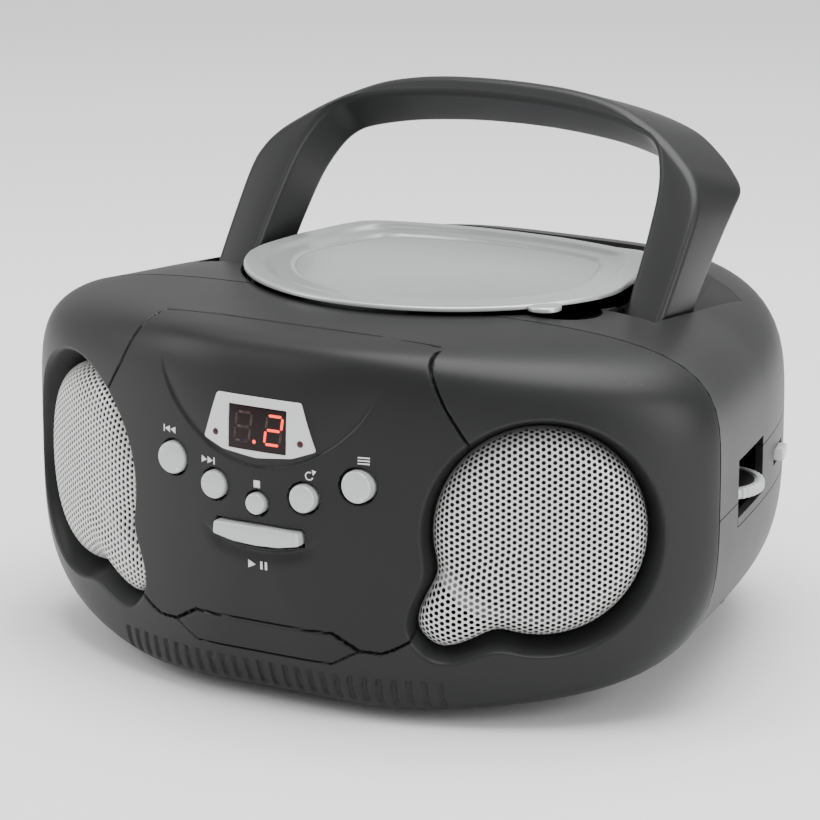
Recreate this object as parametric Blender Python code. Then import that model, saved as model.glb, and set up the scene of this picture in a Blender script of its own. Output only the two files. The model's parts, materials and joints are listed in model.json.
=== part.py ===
"""Portable CD radio with two speakers, a carry handle and a top-loading disc lid.

Front faces -Y, +Z is up. The origin is at the middle of the base, on the plane the feet stand on.
All lengths below are in millimetres and are turned into metres when a mesh is made.
"""

import math

import bmesh
import bpy
from mathutils import Vector

MM = 0.001
GAP = 0.3

# Casing: cross-sections are superellipses about MID_Z, largest at the seam between front and rear shells.
SEAM_Y = -38.0
NOSE = 65.6
TAIL = 142.0
TAIL_CUT = 139.0
HALF_WIDTH = 119.0
TAIL_NARROWING = 28.5
MID_Z = 66.0
CROWN = 47.0
KEEL = 63.0
TAIL_FALL = 2.0
WALL = 2.4
SPLIT_Z = 60.0
SECTION_POINTS = 48

# Disc lid and well.
LID_Y = 12.0
LID_Z = 114.0
LID_R = 66.0
HINGE_Y = 75.0
HINGE_Z = 106.5
WELL_Y = 8.5
WELL_R = 61.0
WELL_FLOOR = 98.0
WELL_TOP = 108.4
RECESS_R = 68.0
RECESS_FRONT = 64.3
BARREL_HALF = 34.0
FLANGE_ARC = [math.radians(a) for a in (59.0, 52.0, 45.0, 38.0, 30.0)]
# Lid's upper surface from the edge inwards: share of its outline, height over LID_Z, extra height at the rear.
LID_RINGS = ((1.0, 1.2, 1.1), (0.965, 1.7, 1.1), (0.92, 1.7, 1.1), (0.84, 0.8, 0.4), (0.79, 0.75, 0.35),
             (0.745, -0.1, 0.0))
LID_WEB = 1.5
LEAF_BEND_Y = 62.0
LEAF_REAR_Z = 110.4
LEAF_THICK = 1.6
LID_WEB_SHARE = 0.93
TAB_ANGLE = math.radians(-36.0)
TAB_REACH = 66.8
TAB_R = 5.2

# Handle: pivots inside the top shell, leaning back at rest.
PIVOT_Y = 1.1
PIVOT_Z = 95.6
HANDLE_LEAN = 37.0
HANDLE_FOLDED = 68.0
HANDLE_HALF_DEPTH = 10.0
SHOULDER_FRONT = 24.0
SHOULDER_INNER = 56.5
LEG_INNER = 66.9
LEG_OUTER = 80.4
LEG_CHANNEL = (66.0, 82.2)
PIVOT_R = 2.6
PIVOT_BORE_R = 3.0
# Handle outlines in its own plane as right halves: (across, along the legs).
HANDLE_FRONT = ((80.4, 8.0), (80.9, 29.0), (80.6, 44.0), (78.6, 51.5), (74.4, 57.6), (68.4, 63.0), (61.4, 68.4),
                (54.0, 73.0), (43.5, 78.2), (33.0, 81.1), (22.0, 82.7), (10.0, 83.4), (0.0, 83.6))
HANDLE_REAR = ((80.4, 8.0), (80.5, 29.0), (82.0, 47.0), (83.2, 56.5), (83.7, 63.4), (79.0, 69.6), (72.0, 75.8),
               (63.5, 81.4), (52.0, 85.4), (38.0, 88.4), (24.0, 90.2), (11.0, 91.2), (0.0, 91.4))
HANDLE_INNER = ((67.0, 12.0), (66.6, 26.0), (66.0, 38.0), (64.6, 52.0), (61.6, 62.0), (58.0, 67.6),
                (52.5, 70.8), (40.0, 74.0), (27.0, 75.8), (13.0, 76.9), (0.0, 77.2))

# Speakers: round with a small lobe, on axes turned outwards.
SPEAKER_X = 79.9
SPEAKER_Y = -75.0
SPEAKER_Z = 59.3
SPEAKER_TURN = 33.0
SPEAKER_R = 35.7
GRILLE_R = 31.3
LOBE_ANGLE = 223.9
LOBE_REACH = 14.8
LOBE_SPREAD = 17.9
GRILLE_SPREAD = 15.5
GRILLE_EDGE = -4.0
GRILLE_SKIRT = 2.0
GRILLE_THICK = 1.0
GRILLE_INSET = 1.2

# Side strips with the thumbwheels.
STRIP_Y0 = -17.0
STRIP_Y1 = 62.0
STRIP_Z0 = 52.0
STRIP_Z1 = 70.0
WHEEL_X = 98.5
WHEEL_Y = -2.0
WHEEL_Z = 56.0
WHEEL_R = 16.0
WHEEL_THICK = 6.2
SLIDER_Y = 38.0
SLIDER_Z = 61.0

# Control panel: button name, x, z, radius.
ROUND_BUTTONS = (
    ("skip_back_button", -32.0, 73.2, 4.95),
    ("skip_forward_button", -15.4, 68.0, 4.3),
    ("stop_button", 0.0, 64.6, 3.3),
    ("repeat_button", 15.4, 68.0, 4.3),
    ("program_button", 32.0, 73.2, 4.95),
)
BUTTON_PROUD = 2.0
BOARD_Y = -83.0
LAMP_X = 14.6
LAMP_Z = 84.3

# Front outlines as right halves, (x, z) from the top centre down.
PANEL_HALF = ((0.0, 125.0), (48.6, 125.0), (48.6, 111.8), (63.3, 86.9), (66.0, 59.0), (52.0, 34.5),
              (47.4, 27.2), (38.8, 22.6), (32.1, 22.8), (23.7, 27.5), (0.0, 27.5))
BADGE_HALF = ((0.0, 27.5), (23.7, 27.5), (32.1, 22.8), (23.5, 17.9), (0.0, 17.9))
PANEL_BACK = -78.0
BEZEL_HALF = ((0.0, 96.4), (14.5, 96.4), (19.2, 82.2), (12.0, 79.6), (0.0, 78.4))
WINDOW_HALF = ((0.0, 93.6), (10.0, 93.6), (10.0, 80.4), (0.0, 80.4))
BAR_HALF = ((0.0, 57.9), (14.6, 57.6), (15.0, 53.6), (8.0, 52.2), (0.0, 51.8))

# Aerial, folded along the rear edge.
AERIAL_Y = 101.0
AERIAL_Z = 101.0
AERIAL_X = -40.0

# Feet and battery compartment.
FOOT_PLACES = ((-72.0, -28.0), (72.0, -28.0), (-66.0, 62.0), (66.0, 62.0))
FOOT_TOP = 6.4
DOOR = ((-50.0, -26.0), (50.0, -26.0), (50.0, 46.0), (-50.0, 46.0))

PLASTIC = ((0.022, 0.022, 0.023), 0.42, 0.0)
PAINT = ((0.62, 0.63, 0.62), 0.35, 0.3)
BEZEL = ((0.72, 0.73, 0.72), 0.38, 0.2)
STEEL = ((0.6, 0.6, 0.6), 0.3, 1.0)
DARK = ((0.012, 0.012, 0.013), 0.6, 0.0)
BOARD = ((0.03, 0.16, 0.07), 0.5, 0.0)
RED = ((0.12, 0.004, 0.004), 0.15, 0.0)
RUBBER = ((0.02, 0.02, 0.02), 0.85, 0.0)
PAPER = ((0.05, 0.05, 0.05), 0.9, 0.0)
IRON = ((0.3, 0.3, 0.31), 0.45, 1.0)


# ---------------------------------------------------------------- building blocks

def clear_scene():
    for obj in list(bpy.data.objects):
        bpy.data.objects.remove(obj, do_unlink=True)


def material(name, look):
    color, roughness, metallic = look
    mat = bpy.data.materials.new(name)
    mat.use_nodes = True
    shader = mat.node_tree.nodes["Principled BSDF"]
    shader.inputs["Base Color"].default_value = (*color, 1.0)
    shader.inputs["Roughness"].default_value = roughness
    shader.inputs["Metallic"].default_value = metallic
    return mat


def mesh_object(name, points, faces, look=None, origin=(0.0, 0.0, 0.0), smooth=None):
    """An object from points in millimetres, with its origin at the given place."""
    mesh = bpy.data.meshes.new(name)
    base = Vector(origin)
    mesh.from_pydata([(Vector(p) - base) * MM for p in points], [], faces)
    bm = bmesh.new()
    bm.from_mesh(mesh)
    bmesh.ops.recalc_face_normals(bm, faces=bm.faces)
    bm.to_mesh(mesh)
    bm.free()
    obj = bpy.data.objects.new(name, mesh)
    obj.location = base * MM
    bpy.context.collection.objects.link(obj)
    if look is not None:
        mesh.materials.append(material(name, look))
    if smooth is not None:
        mesh.shade_smooth()
        mesh.set_sharp_from_angle(angle=math.radians(smooth))
    return obj


def as_cutter(obj):
    obj.hide_render = True
    obj.display_type = "WIRE"
    return obj


def boolean(obj, other, operation):
    mod = obj.modifiers.new(operation.lower(), "BOOLEAN")
    mod.operation = operation
    mod.solver = "EXACT"
    mod.object = other


def cut(obj, *cutters):
    for cutter in cutters:
        boolean(obj, as_cutter(cutter), "DIFFERENCE")
    return obj


def keep_inside(obj, block):
    boolean(obj, as_cutter(block), "INTERSECT")
    return obj


def join(obj, *others):
    for other in others:
        boolean(obj, as_cutter(other), "UNION")
    return obj


def ring_faces(rings, count, closed_ends=True):
    """Quads between successive rings of the same point count, with both ends closed."""
    faces = []
    for i in range(rings - 1):
        for j in range(count):
            k = (j + 1) % count
            faces.append((i * count + j, i * count + k, (i + 1) * count + k, (i + 1) * count + j))
    if closed_ends:
        faces.append(tuple(range(count)))
        faces.append(tuple((rings - 1) * count + j for j in reversed(range(count))))
    return faces


def split_quads(faces):
    """Four-sided faces as triangles, so that no face of a curved surface is bent."""
    result = []
    for face in faces:
        if len(face) == 4:
            result += [face[:3], (face[0], face[2], face[3])]
        else:
            result.append(face)
    return result


def prism(name, outline, low, high, axis="Y", look=None, origin=(0.0, 0.0, 0.0)):
    """A straight prism. The outline is in the plane across the axis: (x, z), (x, y) or (y, z)."""
    place = {
        "Y": lambda a, b, t: (a, t, b),
        "Z": lambda a, b, t: (a, b, t),
        "X": lambda a, b, t: (t, a, b),
    }[axis]
    points = [place(a, b, t) for t in (low, high) for a, b in outline]
    return mesh_object(name, points, ring_faces(2, len(outline)), look, origin)


def box(name, low, high, look=None, origin=(0.0, 0.0, 0.0)):
    outline = ((low[0], low[1]), (high[0], low[1]), (high[0], high[1]), (low[0], high[1]))
    return prism(name, outline, low[2], high[2], "Z", look, origin)


def circle(x, y, radius, count=24, start=0.0):
    turns = [start + 2.0 * math.pi * i / count for i in range(count)]
    return [(x + radius * math.cos(a), y + radius * math.sin(a)) for a in turns]


def rod(name, axis, centre, radius, low, high, look=None, count=20, origin=(0.0, 0.0, 0.0)):
    """A round bar along an axis. The centre is the pair of coordinates across it."""
    return prism(name, circle(centre[0], centre[1], radius, count), low, high, axis, look, origin)


def turned(name, profile, centre, axis, look=None, count=32, origin=(0.0, 0.0, 0.0), smooth=40):
    """A solid of revolution from a closed (radius, height) profile that may touch the axis."""
    frame = Vector(axis).normalized().to_track_quat("Z", "Y").to_matrix()
    points = []
    index = []
    for radius, height in profile:
        row = []
        if radius == 0.0:
            points.append(Vector(centre) + frame @ Vector((0.0, 0.0, height)))
            row = [len(points) - 1] * count
        else:
            for x, y in circle(0.0, 0.0, radius, count):
                points.append(Vector(centre) + frame @ Vector((x, y, height)))
                row.append(len(points) - 1)
        index.append(row)
    faces = []
    for i in range(len(profile)):
        here = index[i]
        there = index[(i + 1) % len(profile)]
        for j in range(count):
            k = (j + 1) % count
            corners = []
            for corner in (here[j], here[k], there[k], there[j]):
                if corner not in corners:
                    corners.append(corner)
            if len(corners) > 2:
                faces.append(tuple(corners))
    return mesh_object(name, points, faces, look, origin, smooth)


def grow(outline, amount):
    """Moves each edge of a closed outline outwards by the amount."""
    count = len(outline)
    area = sum(outline[i - 1][0] * outline[i][1] - outline[i][0] * outline[i - 1][1] for i in range(count))
    side = amount if area > 0 else -amount
    result = []
    for i in range(count):
        a = Vector(outline[i - 1])
        b = Vector(outline[i])
        c = Vector(outline[(i + 1) % count])
        first = (b - a).normalized()
        second = (c - b).normalized()
        normal_1 = Vector((first.y, -first.x))
        normal_2 = Vector((second.y, -second.x))
        bend = 1.0 + normal_1.dot(normal_2)
        move = (normal_1 + normal_2) * (side / max(bend, 0.3))
        result.append(tuple(b + move))
    return result


def mirrored(outline):
    """A left-right symmetric outline from its right half, listed from the top centre down."""
    left = [(-x, z) for x, z in reversed(outline) if x > 0.01]
    return list(outline) + left


# ---------------------------------------------------------------- casing surface

def section(y, inset=0.0):
    """Half width, height above and depth below MID_Z, and the two exponents, at one depth."""
    if y < SEAM_Y:
        t = min((SEAM_Y - y) / (NOSE - inset), 0.9999)
        plan = (1.0 - t ** 1.72) ** (1.0 / 1.66)
        side = (1.0 - t ** 16.9) ** (1.0 / 2.47)
        upper = 4.8 - 0.4 * t
        lower = 3.56 + 4.04 * t
        return (HALF_WIDTH - inset) * plan, (CROWN - inset) * side, (KEEL - inset) * side, upper, lower
    h = (y - SEAM_Y) / (TAIL - inset)
    plan = (1.0 - h ** 4.0) ** 0.25
    side = (1.0 - h ** 10.0) ** 0.1
    upper = 4.8 - 0.8 * min(h * 2.5, 1.0)
    width = (HALF_WIDTH - TAIL_NARROWING * h - inset) * plan
    return width, (CROWN - TAIL_FALL * h - inset) * side, (KEEL - inset) * side, upper, 3.56


def section_point(y, angle, inset):
    width, up, down, upper, lower = section(y, inset)
    c = math.cos(angle)
    s = math.sin(angle)
    power = upper if s > 0.0 else lower
    height = up if s > 0.0 else down
    reach = (abs(c / width) ** power + abs(s / height) ** power) ** (-1.0 / power)
    return (reach * c, y, MID_Z + reach * s)


def nose_stations(inset, last):
    steps = (0.997, 0.98, 0.945, 0.88, 0.79, 0.67, 0.52, 0.34, 0.16, 0.0)
    return [SEAM_Y - (NOSE - inset) * t for t in steps if SEAM_Y - (NOSE - inset) * t < last - 0.5] + [last]


def tail_stations(inset, first):
    steps = (0.15, 0.31, 0.46, 0.6, 0.72, 0.82, 0.89, 0.94, 0.97)
    places = [SEAM_Y + (TAIL - inset) * t for t in steps]
    return [first] + [y for y in places if y > first + 2.0] + [SEAM_Y + TAIL_CUT - inset]


def casing(name, stations, inset, look=None, smooth=None):
    angles = [2.0 * math.pi * (i + 0.5) / SECTION_POINTS for i in range(SECTION_POINTS)]
    points = [section_point(y, a, inset) for y in stations for a in angles]
    faces = split_quads(ring_faces(len(stations), SECTION_POINTS))
    return mesh_object(name, points, faces, look, smooth=smooth)


def front_block(name, inset, last, look=None):
    return casing(name, nose_stations(inset, last), inset, look, 35 if look else None)


def front_y(x, z, inset=0.0):
    """The depth of the casing's front surface at a place seen from the front."""
    low = SEAM_Y - (NOSE - inset)
    high = SEAM_Y
    for _ in range(40):
        middle = 0.5 * (low + high)
        width, up, down, upper, lower = section(middle, inset)
        power = upper if z > MID_Z else lower
        height = up if z > MID_Z else down
        inside = (abs(x) / width) ** power + (abs(z - MID_Z) / height) ** power < 1.0
        if inside:
            high = middle
        else:
            low = middle
    return high


def side_x(y):
    """Half width of the casing at one depth, at mid height."""
    return section(y)[0]


# ---------------------------------------------------------------- speakers

def speaker_axes(side):
    turn = math.radians(SPEAKER_TURN)
    across = Vector((side * math.cos(turn), math.sin(turn), 0.0))
    out = Vector((side * math.sin(turn), -math.cos(turn), 0.0))
    return Vector((side * SPEAKER_X, SPEAKER_Y, SPEAKER_Z)), across, out


def lobed_radius(angle, radius, spread):
    """The outline of the speaker opening: a circle with one rounded lobe towards the lower middle."""
    away = abs((math.degrees(angle) - LOBE_ANGLE + 180.0) % 360.0 - 180.0)
    return radius + LOBE_REACH * math.exp(-((away / spread) ** 2.77))


def lobed_prism(name, side, radius, low, high, count=60):
    centre, across, out = speaker_axes(side)
    points = []
    for w in (low, high):
        for i in range(count):
            a = 2.0 * math.pi * i / count
            r = lobed_radius(a, radius, LOBE_SPREAD)
            points.append(centre + across * (r * math.cos(a)) + Vector((0, 0, r * math.sin(a))) + out * w)
    return mesh_object(name, points, ring_faces(2, count))


def surface_height(side, u, v, inset):
    """How far along the speaker's axis the casing's surface lies over a point of its plane."""
    centre, across, out = speaker_axes(side)
    low = -30.0
    high = 30.0
    for _ in range(30):
        middle = 0.5 * (low + high)
        p = centre + across * u + Vector((0, 0, v)) + out * middle
        if p.y < front_y(p.x, p.z, inset):
            high = middle
        else:
            low = middle
    return low


def grille_point(side, angle, ring, dome_ring, drop):
    """A point of the grille at a share of its radius, below the casing's surface at the dome's own share."""
    centre, across, out = speaker_axes(side)
    r = lobed_radius(angle, GRILLE_R, GRILLE_SPREAD) * ring
    u = r * math.cos(angle)
    v = r * math.sin(angle)
    dome = (1.0 - dome_ring ** 6.0) ** 0.5
    w = GRILLE_EDGE + (surface_height(side, u, v, GRILLE_INSET) - GRILLE_EDGE) * dome - drop
    return centre + across * u + Vector((0, 0, v)) + out * w


def speaker_grille(side, label):
    """A domed plate that follows the casing in the middle and turns down steeply at its edge."""
    count = 40
    angles = [2.0 * math.pi * i / count for i in range(count)]
    outer_rings = (1.0, 0.98, 0.92, 0.78, 0.5, 0.2)
    inner_rings = (0.965, 0.935, 0.88, 0.745, 0.48, 0.19)
    points = [grille_point(side, a, 1.0, 1.0, GRILLE_SKIRT) for a in angles]
    for ring in outer_rings:
        points += [grille_point(side, a, ring, ring, 0.0) for a in angles]
    base = len(points)
    points += [grille_point(side, a, inner_rings[0], 1.0, GRILLE_SKIRT) for a in angles]
    for ring, dome_ring in zip(inner_rings[1:], outer_rings[1:]):
        points += [grille_point(side, a, ring, dome_ring, GRILLE_THICK) for a in angles]
    faces = ring_faces(len(outer_rings) + 1, count, closed_ends=False)
    faces.append(tuple(len(outer_rings) * count + j for j in range(count)))
    for face in ring_faces(len(inner_rings), count, closed_ends=False):
        faces.append(tuple(base + i for i in reversed(face)))
    faces.append(tuple(base + (len(inner_rings) - 1) * count + j for j in reversed(range(count))))
    for j in range(count):
        k = (j + 1) % count
        faces.append((j, base + j, base + k, k))
    return mesh_object("speaker_grille_" + label, points, faces, BEZEL, smooth=40)


def speakers():
    for side, label in ((-1.0, "left"), (1.0, "right")):
        centre, _, out = speaker_axes(side)
        speaker_grille(side, label)
        turned("speaker_frame_" + label,
               ((0.0, -27.0), (17.0, -27.0), (31.5, -14.5), (34.0, -14.5), (34.0, -12.5),
                (30.5, -12.5), (16.2, -25.5), (0.0, -25.5)), centre, out, IRON, 24)
        turned("speaker_cone_" + label,
               ((0.0, -24.2), (11.0, -24.2), (26.5, -14.4), (28.6, -13.4), (28.6, -12.8),
                (26.0, -13.4), (10.6, -23.2), (8.0, -20.5), (0.0, -19.0)), centre, out, PAPER, 24)
        turned("speaker_magnet_" + label,
               ((0.0, -27.3), (16.0, -27.3), (16.0, -37.0), (0.0, -37.0)), centre, out, DARK, 20)


# ---------------------------------------------------------------- front shell and control panel

def centred(half):
    outline = mirrored(half)
    return [p for i, p in enumerate(outline) if p != outline[i - 1]]


def front_prism(name, half, change, back=PANEL_BACK):
    return prism(name, grow(centred(half), change), -130.0, back, "Y")


def lid_recess():
    """The hole in the top that the lid covers: round behind the middle and a little flatter in front."""
    turns = [2.0 * math.pi * i / 60 for i in range(60)]
    return [(RECESS_R * math.cos(a), LID_Y + (RECESS_R if math.sin(a) > 0.0 else RECESS_FRONT) * math.sin(a))
            for a in turns]


def front_shell():
    shell = front_block("front_shell", 0.0, SEAM_Y - 0.5 * GAP, PLASTIC)
    cut(shell,
        front_block("front_core", WALL, SEAM_Y + 6.0),
        front_prism("panel_cut", PANEL_HALF, 0.0),
        front_prism("badge_cut", BADGE_HALF, 0.02),
        lobed_prism("opening_left", -1.0, SPEAKER_R, -28.0, 40.0),
        lobed_prism("opening_right", 1.0, SPEAKER_R, -28.0, 40.0),
        prism("front_recess_cut", lid_recess(), 100.0, 125.0, "Z"))


def control_panel():
    panel = front_block("control_panel", 0.0, SEAM_Y - 0.5 * GAP, PLASTIC)
    keep_inside(panel, front_prism("panel_block", PANEL_HALF, -GAP, PANEL_BACK - GAP))
    cut(panel,
        front_block("panel_core", WALL, SEAM_Y + 6.0),
        lobed_prism("panel_opening_left", -1.0, SPEAKER_R, -28.0, 40.0),
        lobed_prism("panel_opening_right", 1.0, SPEAKER_R, -28.0, 40.0),
        front_prism("bezel_cut", BEZEL_HALF, GAP),
        front_prism("bar_cut", BAR_HALF, GAP))
    for name, x, z, radius in ROUND_BUTTONS:
        cut(panel, rod(name + "_cut", "Y", (x, z), radius + 0.35, -130.0, PANEL_BACK))


def badge_plate():
    plate = front_block("badge_plate", -0.5, SEAM_Y, PLASTIC)
    keep_inside(plate, front_prism("badge_block", BADGE_HALF, -GAP))
    cut(plate, front_block("badge_core", WALL, SEAM_Y + 6.0))


def display():
    bezel = front_block("display_bezel", -0.6, SEAM_Y, BEZEL)
    keep_inside(bezel, front_prism("bezel_block", BEZEL_HALF, 0.0))
    cut(bezel, front_block("bezel_core", 2.0, SEAM_Y + 6.0), front_prism("window_cut", WINDOW_HALF, 0.25))
    window = front_block("display_window", 0.1, SEAM_Y, RED)
    keep_inside(window, front_prism("window_block", WINDOW_HALF, 0.0))
    cut(window, front_block("window_core", 1.7, SEAM_Y + 6.0))
    box("display_module", (-12.5, -97.5, 79.5), (12.5, -88.0, 94.5), DARK)
    for name, side in (("power_lamp", -1.0), ("stereo_lamp", 1.0)):
        x = side * LAMP_X
        face = front_y(x, LAMP_Z)
        cut(bezel, rod(name + "_cut", "Y", (x, LAMP_Z), 1.35, -130.0, PANEL_BACK, count=12))
        turned(name, ((0.0, 0.9), (0.7, 0.7), (1.1, 0.0), (1.1, -5.0), (0.0, -5.0)),
               (x, face, LAMP_Z), (0.0, -1.0, 0.0), RED, 12)


def buttons():
    for name, x, z, radius in ROUND_BUTTONS:
        face = front_y(x, z)
        profile = ((0.0, BUTTON_PROUD), (0.6 * radius, BUTTON_PROUD - 0.15), (radius - 0.5, BUTTON_PROUD - 0.5),
                   (radius, BUTTON_PROUD - 1.1), (radius, -4.4), (radius + 1.2, -4.4), (radius + 1.2, -5.6),
                   (1.8, -5.6), (1.8, face - BOARD_Y + 2.0), (0.0, face - BOARD_Y + 2.0))
        turned(name, profile, (x, face, z), (0.0, -1.0, 0.0), PAINT, 16, (x, face, z))
    face = front_y(0.0, 55.0)
    bar = prism("play_pause_button", centred(BAR_HALF), face - 1.8, face + 5.0, "Y", PAINT, (0.0, face, 55.0))
    join(bar,
         box("bar_flange", (-16.6, face + 4.4, 50.4), (16.6, face + 5.8, 59.4)),
         box("bar_stem", (-3.0, face + 5.0, 53.5), (3.0, BOARD_Y - 2.0, 56.5)))
    box("control_board", (-34.0, BOARD_Y, 48.0), (34.0, BOARD_Y + 1.6, 100.0), BOARD)


# ---------------------------------------------------------------- rear shells

def shoulder_channel(name, side, spare):
    """The space that a shoulder of the folded handle needs behind the leg, nearer the middle."""
    reach = HANDLE_HALF_DEPTH + 0.7 + spare
    fold = math.radians(HANDLE_FOLDED)
    y = PIVOT_Y + reach * math.cos(fold)
    z = PIVOT_Z - reach * math.sin(fold)
    front = SHOULDER_FRONT - spare
    floor = z + (front - y) / math.tan(fold)
    rear = front + 74.0
    outline = ((front, floor), (rear, floor + (rear - front) / math.tan(fold)), (rear, 128.0), (front, 128.0))
    low = min(side * (SHOULDER_INNER - spare), side * 68.0)
    high = max(side * (SHOULDER_INNER - spare), side * 68.0)
    return prism(name, outline, low, high, "X")


def leg_channel(name, side, spare, top):
    """The space that a handle leg sweeps from upright to folded, as a prism across the casing."""
    reach = HANDLE_HALF_DEPTH + 0.7 + spare
    fold = math.radians(HANDLE_FOLDED)
    outline = []
    steps = 8
    for i in range(steps + 1):
        a = math.pi + (math.pi - fold) * i / steps
        outline.append((PIVOT_Y + reach * math.cos(a), PIVOT_Z + reach * math.sin(a)))
    y, z = outline[-1]
    run = 92.0
    outline.append((y + run * math.sin(fold), z + run * math.cos(fold)))
    outline.append((y + run * math.sin(fold), top + 6.0))
    outline.append((PIVOT_Y - reach, top + 6.0))
    low = LEG_CHANNEL[0] - spare
    high = LEG_CHANNEL[1] + spare
    if side < 0:
        low, high = -high, -low
    return prism(name, outline, low, high, "X")


def rear_hollow(name):
    """The inside of the rear casing, carried past the seam so that it leaves no skin there."""
    return casing(name, [SEAM_Y - 6.0] + tail_stations(WALL, SEAM_Y), WALL)


def rear_core(name):
    """The inside of the rear casing, less the material left round the handle legs, hinge and aerial."""
    core = rear_hollow(name)
    for side, label in ((-1.0, "left"), (1.0, "right")):
        cut(core,
            leg_channel(name + "_channel_" + label, side, 1.4, 116.0),
            shoulder_channel(name + "_shoulder_" + label, side, 1.4),
            box(name + "_lug_" + label, (min(side * 36.0, side * 46.0), 69.0, 102.0),
                (max(side * 36.0, side * 46.0), 83.0, 118.0)))
    cut(core,
        prism(name + "_finger_block", ellipse(57.0, -19.5, 12.4, 13.6), 101.0, 118.0, "Z"),
        box(name + "_aerial_block", (-60.0, 92.0, 94.0), (60.0, 112.0, 120.0)))
    return core


def ellipse(x, y, a, b, count=28):
    turns = [2.0 * math.pi * i / count for i in range(count)]
    return [(x + a * math.cos(t), y + b * math.sin(t)) for t in turns]


def strip_block(name, side, spare):
    low = min(side * 85.0, side * 125.0)
    high = max(side * 85.0, side * 125.0)
    return box(name, (low, STRIP_Y0 - spare, STRIP_Z0 - spare), (high, STRIP_Y1 + spare, STRIP_Z1 + spare))


def wheel_slot(name, side):
    low = min(side * 88.0, side * 125.0)
    high = max(side * 88.0, side * 125.0)
    return box(name, (low, WHEEL_Y - 15.0, WHEEL_Z - 1.0), (high, WHEEL_Y + 15.0, 73.0))


def slider_frame(side):
    """Origin and tangent of the casing's side where a slide switch sits."""
    x = side_x(SLIDER_Y)
    slope = (side_x(SLIDER_Y + 1.0) - side_x(SLIDER_Y - 1.0)) / 2.0
    along = Vector((side * slope, 1.0, 0.0)).normalized()
    out = Vector((along.y, -along.x, 0.0)) * side
    return Vector((side * x, SLIDER_Y, SLIDER_Z)), along, out


def slider_block(name, side, length, height, low, high, look=None):
    centre, along, out = slider_frame(side)
    points = []
    for w in (low, high):
        for a, b in ((-0.5, -0.5), (0.5, -0.5), (0.5, 0.5), (-0.5, 0.5)):
            points.append(centre + along * (a * length) + Vector((0, 0, b * height)) + out * w)
    return mesh_object(name, points, ring_faces(2, 4), look, tuple(centre) if look else (0, 0, 0))


def rear_block(name, look=None):
    stations = tail_stations(0.0, SEAM_Y + 0.5 * GAP)
    return casing(name, stations, 0.0, look, 35 if look else None)


def top_shell():
    shell = rear_block("top_shell", PLASTIC)
    cut(shell,
        rear_core("top_core"),
        box("below_split", (-130.0, -60.0, -10.0), (130.0, 120.0, SPLIT_Z + 0.5 * GAP)),
        prism("lid_ring_cut", lid_recess(), 104.0, 125.0, "Z"),
        rod("well_wall_cut", "Z", (0.0, WELL_Y), 63.0, 96.0, WELL_TOP + 0.4, count=48),
        prism("finger_cut", ellipse(57.0, -19.5, 11.0, 12.2), 102.6, 125.0, "Z"),
        box("hinge_cut", (-38.0, 66.0, 103.2), (38.0, 81.5, 125.0)),
        rod("hinge_pin_cut", "X", (HINGE_Y, HINGE_Z), 1.7, -43.5, 43.5, count=14),
        box("aerial_cut", (-57.0, 93.7, 96.4), (57.0, 115.0, 120.0)),
        rod("aerial_stem_cut", "Z", (AERIAL_X, AERIAL_Y), 1.8, 90.0, 100.0, count=14))
    for side, label in ((-1.0, "left"), (1.0, "right")):
        cut(shell,
            leg_channel("leg_cut_" + label, side, 0.0, 120.0),
            shoulder_channel("shoulder_cut_" + label, side, 0.0),
            strip_block("strip_cut_top_" + label, side, 0.0),
            wheel_slot("wheel_cut_top_" + label, side),
            rod("pivot_cut_" + label, "X", (PIVOT_Y, PIVOT_Z), PIVOT_BORE_R,
                min(side * 60.0, side * 84.0), max(side * 60.0, side * 84.0)))
    return shell


def bottom_shell():
    shell = rear_block("bottom_shell", PLASTIC)
    cut(shell,
        rear_hollow("bottom_core"),
        box("above_split", (-130.0, -60.0, SPLIT_Z - 0.5 * GAP), (130.0, 120.0, 130.0)),
        prism("door_cut", DOOR, -5.0, 12.0, "Z"),
        box("inlet_cut", (28.7, 80.0, 22.7), (51.3, 120.0, 39.3)),
        rod("jack_cut", "Y", (-40.0, 50.0), 3.4, 80.0, 120.0))
    for side, label in ((-1.0, "left"), (1.0, "right")):
        cut(shell, strip_block("strip_cut_bottom_" + label, side, 0.0))
    for i, (x, y) in enumerate(FOOT_PLACES):
        cut(shell, rod("foot_cut_%d" % i, "Z", (x, y), 6.4, -5.0, FOOT_TOP + GAP))
    return shell


def feet():
    names = ("foot_front_left", "foot_front_right", "foot_rear_left", "foot_rear_right")
    for name, (x, y) in zip(names, FOOT_PLACES):
        turned(name, ((0.0, 0.0), (5.4, 0.0), (6.0, 0.6), (6.0, FOOT_TOP), (0.0, FOOT_TOP)),
               (x, y, 0.0), (0.0, 0.0, 1.0), RUBBER, 20)


def battery_parts():
    door = rear_block("battery_door", PLASTIC)
    keep_inside(door, prism("door_block", grow(DOOR, -GAP), -5.0, 12.0, "Z"))
    cut(door, rear_hollow("door_core"))
    tray = box("battery_tray", (-54.0, -30.0, 8.4), (54.0, 50.0, 38.0), DARK)
    cut(tray, box("tray_hollow", (-52.4, -28.4, 0.0), (52.4, 48.4, 36.4)))


def side_strips():
    for side, label in ((-1.0, "left"), (1.0, "right")):
        strip = rear_block("side_strip_" + label, PLASTIC)
        keep_inside(strip, strip_block("strip_block_" + label, side, -GAP))
        cut(strip,
            rear_hollow("strip_core_" + label),
            wheel_slot("wheel_cut_strip_" + label, side),
            slider_block("slider_cut_" + label, side, 17.0, 5.0, -12.0, 12.0))


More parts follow.
